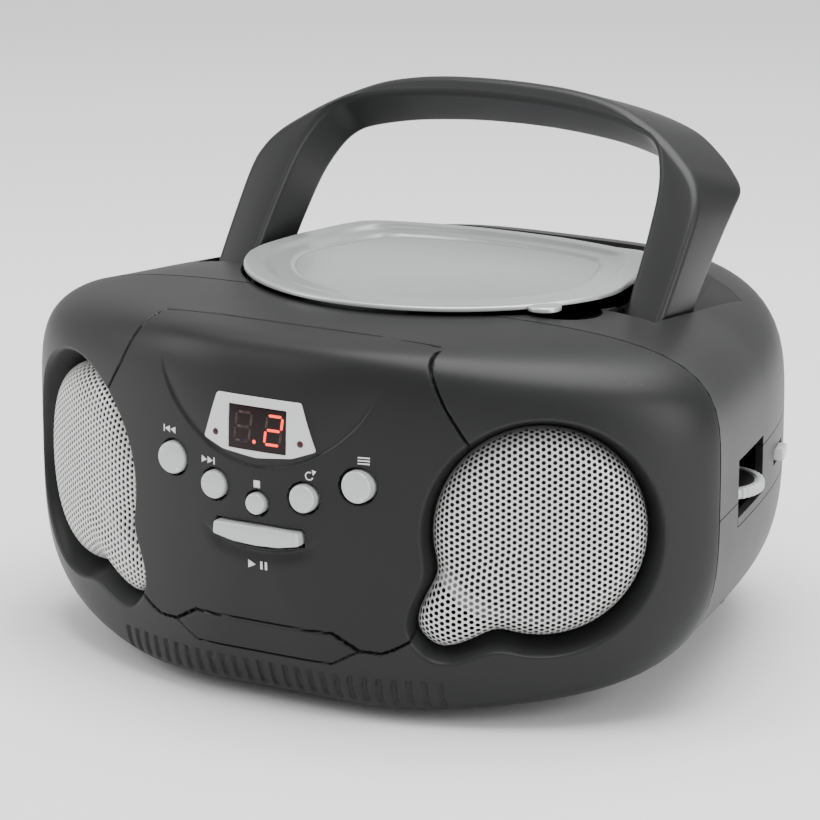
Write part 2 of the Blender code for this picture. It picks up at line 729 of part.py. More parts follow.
def thumbwheels():
    wheels = ((-1.0, "volume_wheel", "volume_control"), (1.0, "tuning_wheel", "tuning_capacitor"))
    for side, name, below in wheels:
        x = side * WHEEL_X
        turned(name,
               ((0.0, WHEEL_THICK), (WHEEL_R - 1.2, WHEEL_THICK), (WHEEL_R, WHEEL_THICK - 0.8), (WHEEL_R, 0.8),
                (WHEEL_R - 0.8, 0.0), (3.0, 0.0), (3.0, -7.0), (0.0, -7.0)),
               (x, WHEEL_Y, WHEEL_Z), (0.0, 0.0, 1.0), PAINT, 28, (x, WHEEL_Y, WHEEL_Z))
        inner = x - side * 10.0
        outer = x + side * 5.0
        body = box(below, (min(inner, outer), WHEEL_Y - 8.0, 41.0),
                   (max(inner, outer), WHEEL_Y + 8.0, WHEEL_Z - 1.4), IRON)
        cut(body, rod(below + "_bore", "Z", (x, WHEEL_Y), 3.4, 48.0, 60.0))
    for side, name in ((-1.0, "function_slider"), (1.0, "band_slider")):
        knob = slider_block(name, side, 7.0, 4.2, -6.0, 2.4, PAINT)
        mod = knob.modifiers.new("edge", "BEVEL")
        mod.width = 0.6 * MM
        mod.segments = 2


# ---------------------------------------------------------------- disc player

def lid_outline():
    """Right half of the lid seen from above, from the front centre to the rear centre."""
    half = []
    steps = 15
    for i in range(steps + 1):
        a = math.radians(-90.0 + 72.0 * i / steps)
        half.append((LID_R * math.cos(a), LID_R * math.sin(a)))
    half += [(63.9, -12.0), (63.0, -3.0), (61.4, 6.0), (59.6, 12.0), (57.8, 18.0), (55.6, 25.0), (52.4, 31.4),
             (48.0, 34.8), (41.3, 37.0), (28.0, 40.0), (14.0, 41.9), (0.0, 42.3)]
    return half


def lid_rise(y):
    """How far the rim has risen towards its full rear height, from 0 to 1."""
    back = min(max((y + 20.0) / 52.0, 0.0), 1.0)
    return back * back * (3.0 - 2.0 * back)


def cd_lid():
    half = lid_outline()
    outline = half + [(-x, y) for x, y in reversed(half) if x > 0.01]
    levels = ((LID_WEB_SHARE, -LID_WEB, 0.0), (LID_WEB_SHARE, 0.0, 0.0), (1.0, 0.0, 0.0)) + LID_RINGS
    points = []
    for share, height, rear in levels:
        for x, y in outline:
            points.append((x * share, LID_Y + y * share, LID_Z + height + rear * lid_rise(y * share)))
    faces = split_quads(ring_faces(len(levels), len(outline)))
    lid = mesh_object("cd_lid", points, faces, PAINT, (0.0, HINGE_Y, HINGE_Z), 40)
    leaf = lid_leaf()
    barrel = rod("lid_barrel", "X", (HINGE_Y, HINGE_Z), 2.7, -BARREL_HALF, BARREL_HALF, count=20)
    skirt = box("lid_skirt", (-BARREL_HALF, HINGE_Y - 2.2, HINGE_Z), (BARREL_HALF, HINGE_Y, LEAF_REAR_Z - 0.3))
    join(lid, lid_bridge(), leaf, skirt, barrel, finger_tab())
    cut(lid, rod("lid_bore", "X", (HINGE_Y, HINGE_Z), 1.55, -40.0, 40.0, count=16))
    rod("lid_hinge_pin", "X", (HINGE_Y, HINGE_Z), 1.25, -42.5, 42.5, STEEL, 16)
    turned("disc_clamp",
           ((0.0, -3.6), (12.0, -3.6), (13.0, -2.9), (13.0, -LID_WEB - 0.1), (0.0, -LID_WEB - 0.1)),
           (0.0, WELL_Y, LID_Z), (0.0, 0.0, 1.0), DARK, 24, (0.0, HINGE_Y, HINGE_Z))


def lid_leaf():
    """The plate behind the lid's rear edge that slopes down to the hinge barrel."""
    arc = [(LID_R * math.cos(a), LID_Y + LID_R * math.sin(a)) for a in FLANGE_ARC]
    half = [(BARREL_HALF, HINGE_Y)] + arc
    outline = half + [(-x, y) for x, y in reversed(half)]
    leaf = prism("lid_leaf", outline, LEAF_REAR_Z - 5.0, LID_Z - 0.6, "Z")
    drop = (LID_Z - 0.6 - LEAF_REAR_Z) / (HINGE_Y - LEAF_BEND_Y)
    run = 30.0
    top = LID_Z - 0.6
    above = ((LEAF_BEND_Y, top), (LEAF_BEND_Y + run, top - drop * run), (LEAF_BEND_Y + run, LID_Z + 5.0),
             (LEAF_BEND_Y, LID_Z + 5.0))
    low = LID_Z - 0.6 - LEAF_THICK
    below = ((20.0, low), (LEAF_BEND_Y, low), (LEAF_BEND_Y + run, low - drop * run),
             (LEAF_BEND_Y + run, low - 20.0), (20.0, low - 20.0))
    cut(leaf, prism("leaf_above", above, -90.0, 90.0, "X"), prism("leaf_below", below, -90.0, 90.0, "X"))
    return leaf


def lid_bridge():
    """The web under the lid's rear edge that carries it back to the leaf."""
    return box("lid_bridge", (-40.0, 44.0, LID_Z - 1.4), (40.0, 48.0, LID_Z + 0.4))


def finger_tab():
    """The small tongue at the lid's front right that a finger lifts."""
    x = TAB_REACH * math.cos(TAB_ANGLE)
    y = LID_Y + TAB_REACH * math.sin(TAB_ANGLE)
    return prism("lid_tab", circle(x, y, TAB_R, 16), LID_Z + 0.1, LID_Z + 1.4, "Z")


def disc_player():
    deck = turned("cd_well",
                  ((WELL_R + 1.4, WELL_TOP), (WELL_R + 1.4, WELL_FLOOR - 1.5), (9.0, WELL_FLOOR - 1.5),
                   (9.0, WELL_FLOOR), (WELL_R, WELL_FLOOR), (WELL_R, WELL_TOP)),
                  (0.0, WELL_Y, 0.0), (0.0, 0.0, 1.0), PLASTIC, 48)
    cut(deck, box("sled_slot", (-7.0, 0.0, WELL_FLOOR - 5.0), (7.0, 55.0, WELL_FLOOR + 2.0)))
    turned("spindle_motor", ((0.0, 78.0), (12.0, 78.0), (12.0, 90.0), (0.0, 90.0)),
           (0.0, WELL_Y, 0.0), (0.0, 0.0, 1.0), IRON, 24)
    turned("spindle_hub",
           ((0.0, 90.4), (1.2, 90.4), (1.2, 96.0), (8.0, 99.6), (13.0, 99.6), (13.0, 101.0), (7.6, 101.0),
            (6.6, 104.0), (3.0, 105.6), (0.0, 105.6)),
           (0.0, WELL_Y, 0.0), (0.0, 0.0, 1.0), DARK, 20, (0.0, WELL_Y, 96.0))
    for name, x in (("sled_rod_left", -18.0), ("sled_rod_right", 18.0)):
        rod(name, "Y", (x, 90.0), 1.5, 4.0, 64.0, STEEL, 12)
    sled = box("laser_sled", (-22.0, 24.0, 86.0), (22.0, 42.0, 94.0), DARK, (0.0, 24.0, 90.0))
    cut(sled,
        rod("sled_bore_left", "Y", (-18.0, 90.0), 1.8, 0.0, 70.0, count=12),
        rod("sled_bore_right", "Y", (18.0, 90.0), 1.8, 0.0, 70.0, count=12))
    join(sled, turned("laser_lens", ((0.0, 92.0), (3.4, 92.0), (3.4, 96.8), (2.2, 97.4), (0.0, 97.6)),
                      (0.0, 31.0, 0.0), (0.0, 0.0, 1.0), None, 20))


# ---------------------------------------------------------------- handle

def handle_station(b):
    """The handle's outline in its own plane at one depth: x across, a along the legs."""
    blend = (b + HANDLE_HALF_DEPTH) / (2.0 * HANDLE_HALF_DEPTH)
    foot = -math.sqrt(max(HANDLE_HALF_DEPTH ** 2 - b * b, 0.0))
    outer = [(LEG_OUTER, foot)]
    for (x0, a0), (x1, a1) in zip(HANDLE_FRONT, HANDLE_REAR):
        outer.append((x0 + (x1 - x0) * blend, a0 + (a1 - a0) * blend))
    inner = [(LEG_INNER, foot)] + list(HANDLE_INNER)
    loop = outer + [(-x, a) for x, a in reversed(outer[:-1])]
    loop += [(-x, a) for x, a in inner] + [(x, a) for x, a in reversed(inner[:-1])]
    return loop


def handle():
    depths = (-10.0, -8.5, -5.0, 0.0, 5.0, 8.5, 10.0)
    lean = math.radians(HANDLE_LEAN)
    points = []
    for b in depths:
        for x, a in handle_station(b):
            y = PIVOT_Y + a * math.sin(lean) + b * math.cos(lean)
            z = PIVOT_Z + a * math.cos(lean) - b * math.sin(lean)
            points.append((x, y, z))
    count = len(handle_station(0.0))
    grip = mesh_object("handle", points, ring_faces(len(depths), count), PLASTIC, (0.0, PIVOT_Y, PIVOT_Z), 30)
    for side, label in ((-1.0, "left"), (1.0, "right")):
        low = min(side * 64.9, side * 83.8)
        high = max(side * 64.9, side * 83.8)
        rod("handle_pivot_" + label, "X", (PIVOT_Y, PIVOT_Z), PIVOT_R, low, high, STEEL)
        cut(grip, rod("handle_bore_" + label, "X", (PIVOT_Y, PIVOT_Z), PIVOT_BORE_R, low - 2.0, high + 2.0))


# ---------------------------------------------------------------- inside and rear

def electronics():
    box("main_board", (-58.0, -22.0, 44.0), (58.0, 56.0, 45.6), BOARD)
    box("transformer", (-56.0, 52.0, 16.0), (-20.0, 80.0, 43.0), IRON)
    turned("ferrite_rod", ((0.0, -45.0), (5.0, -45.0), (5.0, 45.0), (0.0, 45.0)),
           (0.0, 84.0, 78.0), (1.0, 0.0, 0.0), DARK, 16)
    inlet = box("mains_inlet", (29.0, 84.0, 23.0), (51.0, 100.4, 39.0), DARK)
    cut(inlet, box("inlet_socket", (32.0, 88.0, 27.0), (48.0, 110.0, 35.0)))
    turned("audio_jack", ((1.8, 0.0), (3.0, 0.0), (3.0, 14.0), (0.0, 14.0), (0.0, 12.0), (1.8, 12.0)),
           (-40.0, 100.6, 50.0), (0.0, -1.0, 0.0), DARK, 16)


def aerial():
    root = (AERIAL_X, AERIAL_Y, AERIAL_Z)
    swivel = turned("aerial_swivel",
                    ((0.0, -7.6), (1.5, -7.6), (1.5, -4.2), (4.6, -4.2), (4.6, -1.0), (3.6, 0.0),
                     (3.6, 3.4), (0.0, 3.4)),
                    root, (0.0, 0.0, 1.0), STEEL, 20, root)
    cut(swivel, box("swivel_slot", (root[0] - 6.0, root[1] - 1.7, root[2] - 0.8),
                    (root[0] + 6.0, root[1] + 1.7, root[2] + 6.0)))
    blade = box("aerial_blade", (root[0] - 1.4, root[1] - 1.3, root[2] - 0.1),
                (root[0] + 7.0, root[1] + 1.3, root[2] + 2.9))
    tube = turned("aerial_tube",
                  ((0.0, 6.0), (3.0, 6.0), (3.0, 80.0), (2.0, 80.0), (2.0, 9.0), (0.0, 9.0)),
                  (root[0], root[1], root[2] + 1.6), (1.0, 0.0, 0.0), STEEL, 16, root)
    join(tube, blade)
    turned("aerial_middle",
           ((0.0, 10.0), (1.7, 10.0), (1.7, 81.5), (1.1, 81.5), (1.1, 12.0), (0.0, 12.0)),
           (root[0], root[1], root[2] + 1.6), (1.0, 0.0, 0.0), STEEL, 16, root)
    turned("aerial_tip",
           ((0.0, 13.0), (0.8, 13.0), (0.8, 82.2), (2.6, 82.2), (2.6, 85.0), (0.0, 85.8)),
           (root[0], root[1], root[2] + 1.6), (1.0, 0.0, 0.0), STEEL, 16, root)


def main():
    clear_scene()
    front_shell()
    control_panel()
    badge_plate()
    display()
    buttons()
    speakers()
    top_shell()
    bottom_shell()
    side_strips()
    thumbwheels()
    battery_parts()
    feet()
    cd_lid()
    disc_player()
    handle()
    electronics()
    aerial()


main()
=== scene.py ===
"""Visual model of the boombox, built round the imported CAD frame.

Lengths are in millimetres in the frame's own axes until a mesh is made. Front faces -Y, +Z is up.
"""

import json
import math

import bmesh
import bpy
import numpy as np
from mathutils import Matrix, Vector


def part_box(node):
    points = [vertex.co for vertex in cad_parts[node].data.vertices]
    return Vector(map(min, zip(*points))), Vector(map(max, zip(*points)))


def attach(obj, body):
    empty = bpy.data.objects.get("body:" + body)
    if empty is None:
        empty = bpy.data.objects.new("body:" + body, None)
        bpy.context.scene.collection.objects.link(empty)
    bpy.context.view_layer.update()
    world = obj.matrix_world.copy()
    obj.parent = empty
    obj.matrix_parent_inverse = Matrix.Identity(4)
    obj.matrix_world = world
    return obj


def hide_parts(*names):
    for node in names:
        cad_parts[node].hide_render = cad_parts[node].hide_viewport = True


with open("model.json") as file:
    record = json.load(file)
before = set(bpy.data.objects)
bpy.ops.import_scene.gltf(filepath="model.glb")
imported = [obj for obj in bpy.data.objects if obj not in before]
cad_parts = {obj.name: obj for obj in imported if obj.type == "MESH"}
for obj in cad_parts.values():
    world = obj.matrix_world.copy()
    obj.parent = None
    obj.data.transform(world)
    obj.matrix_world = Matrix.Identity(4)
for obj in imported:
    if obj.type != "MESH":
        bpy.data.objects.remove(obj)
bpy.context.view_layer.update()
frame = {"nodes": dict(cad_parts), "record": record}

MM = 0.001
TAU = 2.0 * math.pi

# Casing surface, the same formula as the CAD's.
SEAM_Y = -38.0
NOSE = 65.6
TAIL = 142.0
TAIL_CUT = 139.0
HALF_WIDTH = 119.0
TAIL_NARROWING = 28.5
MID_Z = 66.0
CROWN = 47.0
KEEL = 63.0
TAIL_FALL = 2.0
WALL = 2.4
SPLIT_Z = 60.0
GAP = 0.3

# Speakers.
SPEAKER = (79.9, -75.0, 59.3)
SPEAKER_TURN = math.radians(33.0)
RECESS_R = 35.7
GRILLE_R = 31.3
LOBE_ANGLE = 223.9
LOBE_REACH = 14.8
RECESS_FLOOR = -7.0

# Lid, handle and hinges.
LID_Y = 12.0
LID_Z = 114.0
LID_R = 66.0
LID_RECESS = 68.0
RECESS_FRONT = 64.3
WELL_TOP = 108.4
WELL_Y = 8.5
HINGE_Y = 75.0
HINGE_Z = 106.5
LEAF_BEND_Y = 62.0
LEAF_REAR_Z = 110.4
LEAF_THICK = 1.6
PIVOT_Y = 1.1
PIVOT_Z = 95.6
HANDLE_LEAN = math.radians(37.0)
HANDLE_FOLDED = math.radians(68.0)
HANDLE_HALF_DEPTH = 10.0
LEG_CHANNEL = (66.0, 82.2)
CHANNEL_RUN = 92.0
TAB_ANGLE = math.radians(-36.0)
TAB_REACH = 66.8
TAB_R = 5.2
LEAF_SET = 0.6

# Wheel rim and the aerial's root.
WHEEL_RIM = 3.5
AERIAL_X = -40.0

PANEL_HALF = ((0.0, 125.0), (48.6, 125.0), (48.6, 111.8), (52.2, 105.4), (56.4, 97.6), (63.3, 86.9),
              (66.0, 59.0),
              (52.0, 34.5), (47.4, 27.2), (42.5, 24.2), (38.8, 22.6), (32.1, 22.8), (23.7, 27.5),
              (0.0, 27.5))
BADGE_HALF = ((0.0, 27.5), (23.7, 27.5), (32.1, 22.8), (23.5, 17.9), (0.0, 17.9))
BEZEL_HALF = ((0.0, 96.4), (14.5, 96.4), (19.2, 82.2), (12.0, 79.6), (0.0, 78.4))
BAR_HALF = ((0.0, 57.9), (14.6, 57.6), (15.0, 53.6), (8.0, 52.2), (0.0, 51.8))
PANEL_TOP_Y = -78.0
BUTTONS = ("skip_back", "skip_forward", "stop", "repeat", "program")


# ---------------------------------------------------------------- materials

def node(tree, kind, **inputs):
    made = tree.nodes.new("ShaderNode" + kind)
    for name, value in inputs.items():
        made.inputs[name.replace("_", " ")].default_value = value
    return made


def finish(name, color, roughness, metallic=0.0, grain=0.0, grain_size=0.35, uneven=0.05, edge=0.0,
           round_edges=0.25, coat=0.0, emission=None, strength=0.0, anisotropic=0.0,
           shine=0.5):
    """A moulded, painted or metal surface: fine grain, slight unevenness, rounded and lightly worn edges."""
    mat = bpy.data.materials.new(name)
    mat.use_nodes = True
    tree = mat.node_tree
    shader = tree.nodes["Principled BSDF"]
    shader.inputs["Metallic"].default_value = metallic
    shader.inputs["Specular IOR Level"].default_value = shine
    shader.inputs["Coat Weight"].default_value = coat
    shader.inputs["Anisotropic"].default_value = anisotropic
    if emission:
        shader.inputs["Emission Color"].default_value = (*emission, 1.0)
        shader.inputs["Emission Strength"].default_value = strength
    place = node(tree, "TexCoord")
    clouds = node(tree, "TexNoise", Scale=38.0, Detail=4.0)
    tree.links.new(place.outputs["Object"], clouds.inputs["Vector"])
    tone = tree.nodes.new("ShaderNodeMapRange")
    tone.inputs["To Min"].default_value = 1.0 - uneven
    tone.inputs["To Max"].default_value = 1.0 + uneven
    tree.links.new(clouds.outputs["Fac"], tone.inputs["Value"])
    tint = tree.nodes.new("ShaderNodeMix")
    tint.data_type = "RGBA"
    tint.blend_type = "MULTIPLY"
    tint.inputs["Factor"].default_value = 1.0
    tint.inputs["A"].default_value = (*color, 1.0)
    tree.links.new(tone.outputs["Result"], tint.inputs["B"])
    last = tint.outputs["Result"]
    if edge:
        spot = tree.nodes.new("ShaderNodeNewGeometry")
        ramp = tree.nodes.new("ShaderNodeMapRange")
        ramp.inputs["From Min"].default_value = 0.52
        ramp.inputs["From Max"].default_value = 0.62
        ramp.inputs["To Max"].default_value = edge
        tree.links.new(spot.outputs["Pointiness"], ramp.inputs["Value"])
        worn = tree.nodes.new("ShaderNodeMix")
        worn.data_type = "RGBA"
        worn.inputs["B"].default_value = (*[min(1.0, c * 2.2 + 0.02) for c in color], 1.0)
        tree.links.new(last, worn.inputs["A"])
        tree.links.new(ramp.outputs["Result"], worn.inputs["Factor"])
        last = worn.outputs["Result"]
    tree.links.new(last, shader.inputs["Base Color"])
    sheen = tree.nodes.new("ShaderNodeMapRange")
    sheen.inputs["To Min"].default_value = roughness - 0.04
    sheen.inputs["To Max"].default_value = roughness + 0.04
    tree.links.new(clouds.outputs["Fac"], sheen.inputs["Value"])
    tree.links.new(sheen.outputs["Result"], shader.inputs["Roughness"])
    normal = None
    if round_edges:
        soft = tree.nodes.new("ShaderNodeBevel")
        soft.samples = 4
        soft.inputs["Radius"].default_value = round_edges * MM
        normal = soft.outputs["Normal"]
    if grain:
        fine = node(tree, "TexNoise", Scale=1000.0 / grain_size, Detail=2.0)
        tree.links.new(place.outputs["Object"], fine.inputs["Vector"])
        bump = tree.nodes.new("ShaderNodeBump")
        bump.inputs["Strength"].default_value = grain
        bump.inputs["Distance"].default_value = 0.05 * MM
        tree.links.new(fine.outputs["Fac"], bump.inputs["Height"])
        if normal:
            tree.links.new(normal, bump.inputs["Normal"])
        normal = bump.outputs["Normal"]
    if normal:
        tree.links.new(normal, shader.inputs["Normal"])
    return mat


SHELL = finish("satin_black", (0.010, 0.0103, 0.0106), 0.42, grain=0.35, uneven=0.08, edge=0.25,
               shine=0.3)
PANEL = finish("panel_black", (0.009, 0.0092, 0.0095), 0.44, grain=0.35, uneven=0.08, edge=0.25,
               shine=0.28)
GRIP = finish("handle_black", (0.010, 0.0103, 0.0106), 0.38, grain=0.3, uneven=0.08, edge=0.3,
              shine=0.35)
INNER = finish("inner_black", (0.012, 0.012, 0.013), 0.6, grain=0.3)
SILVER = finish("lid_silver", (0.50, 0.51, 0.515), 0.32, 0.6, grain=0.12, grain_size=0.12, uneven=0.02,
                coat=0.2)
KEY = finish("key_silver", (0.50, 0.51, 0.51), 0.36, 0.25, grain=0.1, grain_size=0.12, uneven=0.02, edge=0.3)
BEZEL = finish("bezel_silver", (0.62, 0.63, 0.63), 0.4, 0.05, grain=0.1, grain_size=0.12, uneven=0.02)
MESH = finish("grille_silver", (0.64, 0.64, 0.63), 0.42, 0.25, grain=0.15, uneven=0.03, round_edges=0.0)
WINDOW = finish("dark_window", (0.008, 0.001, 0.001), 0.2, uneven=0.1, round_edges=0.1, shine=0.25)
LAMP = finish("lamp_red", (0.04, 0.002, 0.002), 0.2, round_edges=0.0, shine=0.4)
GLOW = finish("lit_segment", (0.8, 0.05, 0.02), 0.5, emission=(1.0, 0.05, 0.02), strength=2.0,
              round_edges=0.0)
DIM = finish("unlit_segment", (0.02, 0.002, 0.002), 0.3, round_edges=0.0)
PRINT = finish("printed_grey", (0.68, 0.69, 0.69), 0.5, round_edges=0.0, uneven=0.03)
STEEL = finish("plated_steel", (0.62, 0.62, 0.61), 0.25, 1.0, grain=0.1, uneven=0.05, anisotropic=0.3)
CHROME = finish("chromed_tube", (0.78, 0.78, 0.78), 0.12, 1.0, uneven=0.03)
IRON = finish("plated_iron", (0.32, 0.32, 0.33), 0.45, 1.0, grain=0.4, uneven=0.12)
RUBBER = finish("rubber_grey", (0.03, 0.03, 0.031), 0.85, grain=0.6, grain_size=0.5)
# Speaker cone: dark paper, its colour pushed darker still as painted shade for what shows through the grille
# holes.
CONE_WITH_PAINTED_SHADE = finish("paper_cone", (0.012, 0.012, 0.013), 0.9, grain=0.8, grain_size=0.6, uneven=0.15)
BOARD = finish("circuit_board", (0.02, 0.13, 0.05), 0.4, grain=0.3, uneven=0.2)


# ---------------------------------------------------------------- meshes

def make_mesh(name, points, faces, mat, body, stands_for=(), smooth=35.0, extra=None):
    """A piece from points in millimetres that rides on a body and may stand for CAD nodes."""
    mesh = bpy.data.meshes.new(name)
    points = np.asarray(points, dtype=np.float64)
    faces = [tuple(int(i) for i in f) for f in faces] if not isinstance(faces,
                                                                        np.ndarray) else faces.tolist()
    mesh.from_pydata((points * MM).tolist(), [], faces)
    mesh.validate()
    if extra:
        extra(mesh)
    mesh.shade_smooth()
    mesh.set_sharp_from_angle(angle=math.radians(smooth))
    mesh.materials.append(mat)
    piece = bpy.data.objects.new(name, mesh)
    bpy.context.scene.collection.objects.link(piece)
    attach(piece, body)
    if stands_for:
        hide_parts(*stands_for)
    return piece


def outward(mesh):
    bm = bmesh.new()
    bm.from_mesh(mesh)
    bmesh.ops.recalc_face_normals(bm, faces=bm.faces)
    bm.to_mesh(mesh)
    bm.free()


def scratch(name, points, faces):
    """A closed solid that is only used to cut others."""
    mesh = bpy.data.meshes.new(name)
    mesh.from_pydata([(x * MM, y * MM, z * MM) for x, y, z in points], [], faces)
    outward(mesh)
    obj = bpy.data.objects.new(name, mesh)
    bpy.context.scene.collection.objects.link(obj)
    return obj


def carve(base, steps):
    """Runs exact Booleans on a solid, one after another, and returns the resulting mesh in millimetres."""
    for operation, other in steps:
        mod = base.modifiers.new("step", "BOOLEAN")
        mod.operation = operation
        mod.solver = "EXACT"
        mod.object = other
    graph = bpy.context.evaluated_depsgraph_get()
    graph.update()
    done = bpy.data.meshes.new_from_object(base.evaluated_get(graph))
    for _, other in steps:
        bpy.data.objects.remove(other, do_unlink=True)
    bpy.data.objects.remove(base, do_unlink=True)
    return done


def adopt(name, mesh, mat, body, stands_for, smooth=30.0):
    mesh.name = name
    mesh.materials.clear()
    mesh.materials.append(mat)
    mesh.shade_smooth()
    mesh.set_sharp_from_angle(angle=math.radians(smooth))
    piece = bpy.data.objects.new(name, mesh)
    bpy.context.scene.collection.objects.link(piece)
    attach(piece, body)
    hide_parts(*stands_for)
    return piece


def ring_faces(rings, count, closed=True, caps=(True, True)):
    faces = []
    for i in range(rings - 1):
        for j in range(count if closed else count - 1):
            k = (j + 1) % count
            faces.append((i * count + j, i * count + k, (i + 1) * count + k, (i + 1) * count + j))
    if caps[0]:
        faces.append(tuple(reversed(range(count))))
    if caps[1]:
        faces.append(tuple((rings - 1) * count + j for j in range(count)))
    return faces


def prism(name, outline, low, high, axis="Y"):
    place = {"Y": lambda a, b, t: (a, t, b), "Z": lambda a, b, t: (a, b, t), "X": lambda a, b,
             t: (t, a, b)}[axis]
    points = [place(a, b, t) for t in (low, high) for a, b in outline]
    return scratch(name, points, ring_faces(2, len(outline)))


def block(name, low, high):
    outline = ((low[0], low[1]), (high[0], low[1]), (high[0], high[1]), (low[0], high[1]))
    return prism(name, outline, low[2], high[2], "Z")


def rounded_rect(low, high, radius, steps=6):
    corners = ((high[0] - radius, high[1] - radius, 0), (low[0] + radius, high[1] - radius, 1),
               (low[0] + radius, low[1] + radius, 2), (high[0] - radius, low[1] + radius, 3))
    return [(cx + radius * math.cos((q + i / steps) * math.pi / 2),
             cy + radius * math.sin((q + i / steps) * math.pi / 2))
            for cx, cy, q in corners for i in range(steps + 1)]


def ellipse(x, y, a, b, count=72):
    return [(x + a * math.cos(TAU * i / count), y + b * math.sin(TAU * i / count)) for i in range(count)]


def smoothstep(low, high, value):
    t = np.clip((value - low) / (high - low), 0.0, 1.0)
    return t * t * (3.0 - 2.0 * t)


def lathe(profile, centre, axis, count=64, ripple=None):
    """Points and faces of a turned solid, from a (radius, height) profile closed on the axis."""
    turn = Vector(axis).normalized().to_track_quat("Z", "Y").to_matrix()
    points = []
    for i, (radius, height) in enumerate(profile):
        for j in range(count):
            a = TAU * j / count
            r = radius + (ripple(i, a) if ripple else 0.0)
            points.append(Vector(centre) + turn @ Vector((r * math.cos(a), r * math.sin(a), height)))
    return [tuple(p) for p in points], ring_faces(len(profile), count)


def rounded_profile(corners, radius, steps=4):
    """An open profile with its inner corners rounded."""
    result = [corners[0]]
    for before, here, after in zip(corners, corners[1:], corners[2:]):
        a = Vector(before) - Vector(here)
        b = Vector(after) - Vector(here)
        r = min(radius, a.length * 0.45, b.length * 0.45)
        start = Vector(here) + a.normalized() * r
        end = Vector(here) + b.normalized() * r
        for i in range(steps + 1):
            t = i / steps
            result.append(tuple(start * (1 - t) ** 2 + Vector(here) * 2 * t * (1 - t) + end * t * t))
    result.append(corners[-1])
    return result


def spline(points, per):
    """A smooth curve through the points, with a fixed number of samples for each span."""
    pts = [Vector(p) for p in points]
    result = []
    for i in range(len(pts) - 1):
        p0 = pts[max(i - 1, 0)]
        p1, p2 = pts[i], pts[i + 1]
        p3 = pts[min(i + 2, len(pts) - 1)]
        for j in range(per):
            t = j / per
            result.append(0.5 * ((2 * p1) + (p2 - p0) * t + (2 * p0 - 5 * p1 + 4 * p2 - p3) * t * t
                                 + (3 * p1 - p0 - 3 * p2 + p3) * t * t * t))
    result.append(pts[-1])
    return result


def mirrored(half):
    return list(half) + [(-x, z) for x, z in reversed(half) if x > 0.01]


def distance_to_line(a, b, points, closed=False):
    """Shortest distance in a plane from many places to a broken line."""
    pts = [tuple(p)[:2] for p in points]
    if closed:
        pts.append(pts[0])
    best = np.full(a.shape, 1e9)
    for (x0, y0), (x1, y1) in zip(pts, pts[1:]):
        dx, dy = x1 - x0, y1 - y0
        length = dx * dx + dy * dy
        if length < 1e-12:
            continue
        t = np.clip(((a - x0) * dx + (b - y0) * dy) / length, 0.0, 1.0)
        best = np.minimum(best, np.hypot(a - x0 - t * dx, b - y0 - t * dy))
    return best


def inside_polygon(a, b, points):
    inside = np.zeros(a.shape, dtype=bool)
    n = len(points)
    for i in range(n):
        x0, y0 = points[i - 1][:2]
        x1, y1 = points[i][:2]
        if y0 == y1:
            continue
        crosses = ((y0 > b) != (y1 > b)) & (a < (x1 - x0) * (b - y0) / (y1 - y0) + x0)
        inside ^= crosses
    return inside


# ---------------------------------------------------------------- casing surface

def section(y, inset=0.0):
    y = np.asarray(y, dtype=np.float64)
    t = np.clip((SEAM_Y - y) / (NOSE - inset), 0.0, 0.99995)
    plan_f = (1.0 - t ** 1.72) ** (1.0 / 1.66)
    side_f = (1.0 - t ** 16.9) ** (1.0 / 2.47)
    h = np.clip((y - SEAM_Y) / (TAIL - inset), 0.0, 0.9999)
    plan_r = (1.0 - h ** 4.0) ** 0.25
    side_r = (1.0 - h ** 10.0) ** 0.1
    front = y < SEAM_Y
    width = np.where(front, (HALF_WIDTH - inset) * plan_f,
                     (HALF_WIDTH - TAIL_NARROWING * h - inset) * plan_r)
    up = np.where(front, (CROWN - inset) * side_f, (CROWN - TAIL_FALL * h - inset) * side_r)
    down = np.where(front, (KEEL - inset) * side_f, (KEEL - inset) * side_r)
    upper = np.where(front, 4.8 - 0.4 * t, 4.8 - 0.8 * np.minimum(h * 2.5, 1.0))
    lower = np.where(front, 3.56 + 4.04 * t, 3.56)
    return width, up, down, upper, lower


def level(p, inset=0.0):
    """Negative inside the casing, positive outside."""
    width, up, down, upper, lower = section(p[..., 1], inset)
    z = p[..., 2] - MID_Z
    height = np.where(z > 0, up, down)
    power = np.where(z > 0, upper, lower)
    value = (np.abs(p[..., 0]) / width) ** power + (np.abs(z) / height) ** power - 1.0
    value = np.where(p[..., 1] < SEAM_Y - (NOSE - inset) * 0.9999, 1.0, value)
    return np.where(p[..., 1] > SEAM_Y + TAIL_CUT - inset, 1.0, value)


def front_y(x, z, inset=0.0):
    """Depth of the casing's front surface at places seen from the front."""
    x = np.asarray(x, dtype=np.float64)
    z = np.asarray(z, dtype=np.float64)
    low = np.full(x.shape, SEAM_Y - (NOSE - inset))
    high = np.full(x.shape, SEAM_Y - 0.001)
    for _ in range(36):
        middle = 0.5 * (low + high)
        inside = level(np.stack([x, middle, z], -1), inset) < 0.0
        high = np.where(inside, middle, high)
        low = np.where(inside, low, middle)
    return high


def cast(rays, centre):
    """Where rays from a centre leave the casing."""
    low = np.zeros(rays.shape[0])
    high = np.full(rays.shape[0], 1.3)
    for _ in range(40):
        middle = 0.5 * (low + high)
        inside = level(centre + rays * middle[:, None]) < 0.0
        low = np.where(inside, middle, low)
        high = np.where(inside, high, middle)
    return centre + rays * low[:, None]


def normals(p):
    step = 0.02
    grad = np.zeros_like(p)
    for k in range(3):
        move = np.zeros(3)
        move[k] = step
        grad[:, k] = level(p + move) - level(p - move)
    length = np.linalg.norm(grad, axis=1, keepdims=True)
    return grad / np.maximum(length, 1e-9)


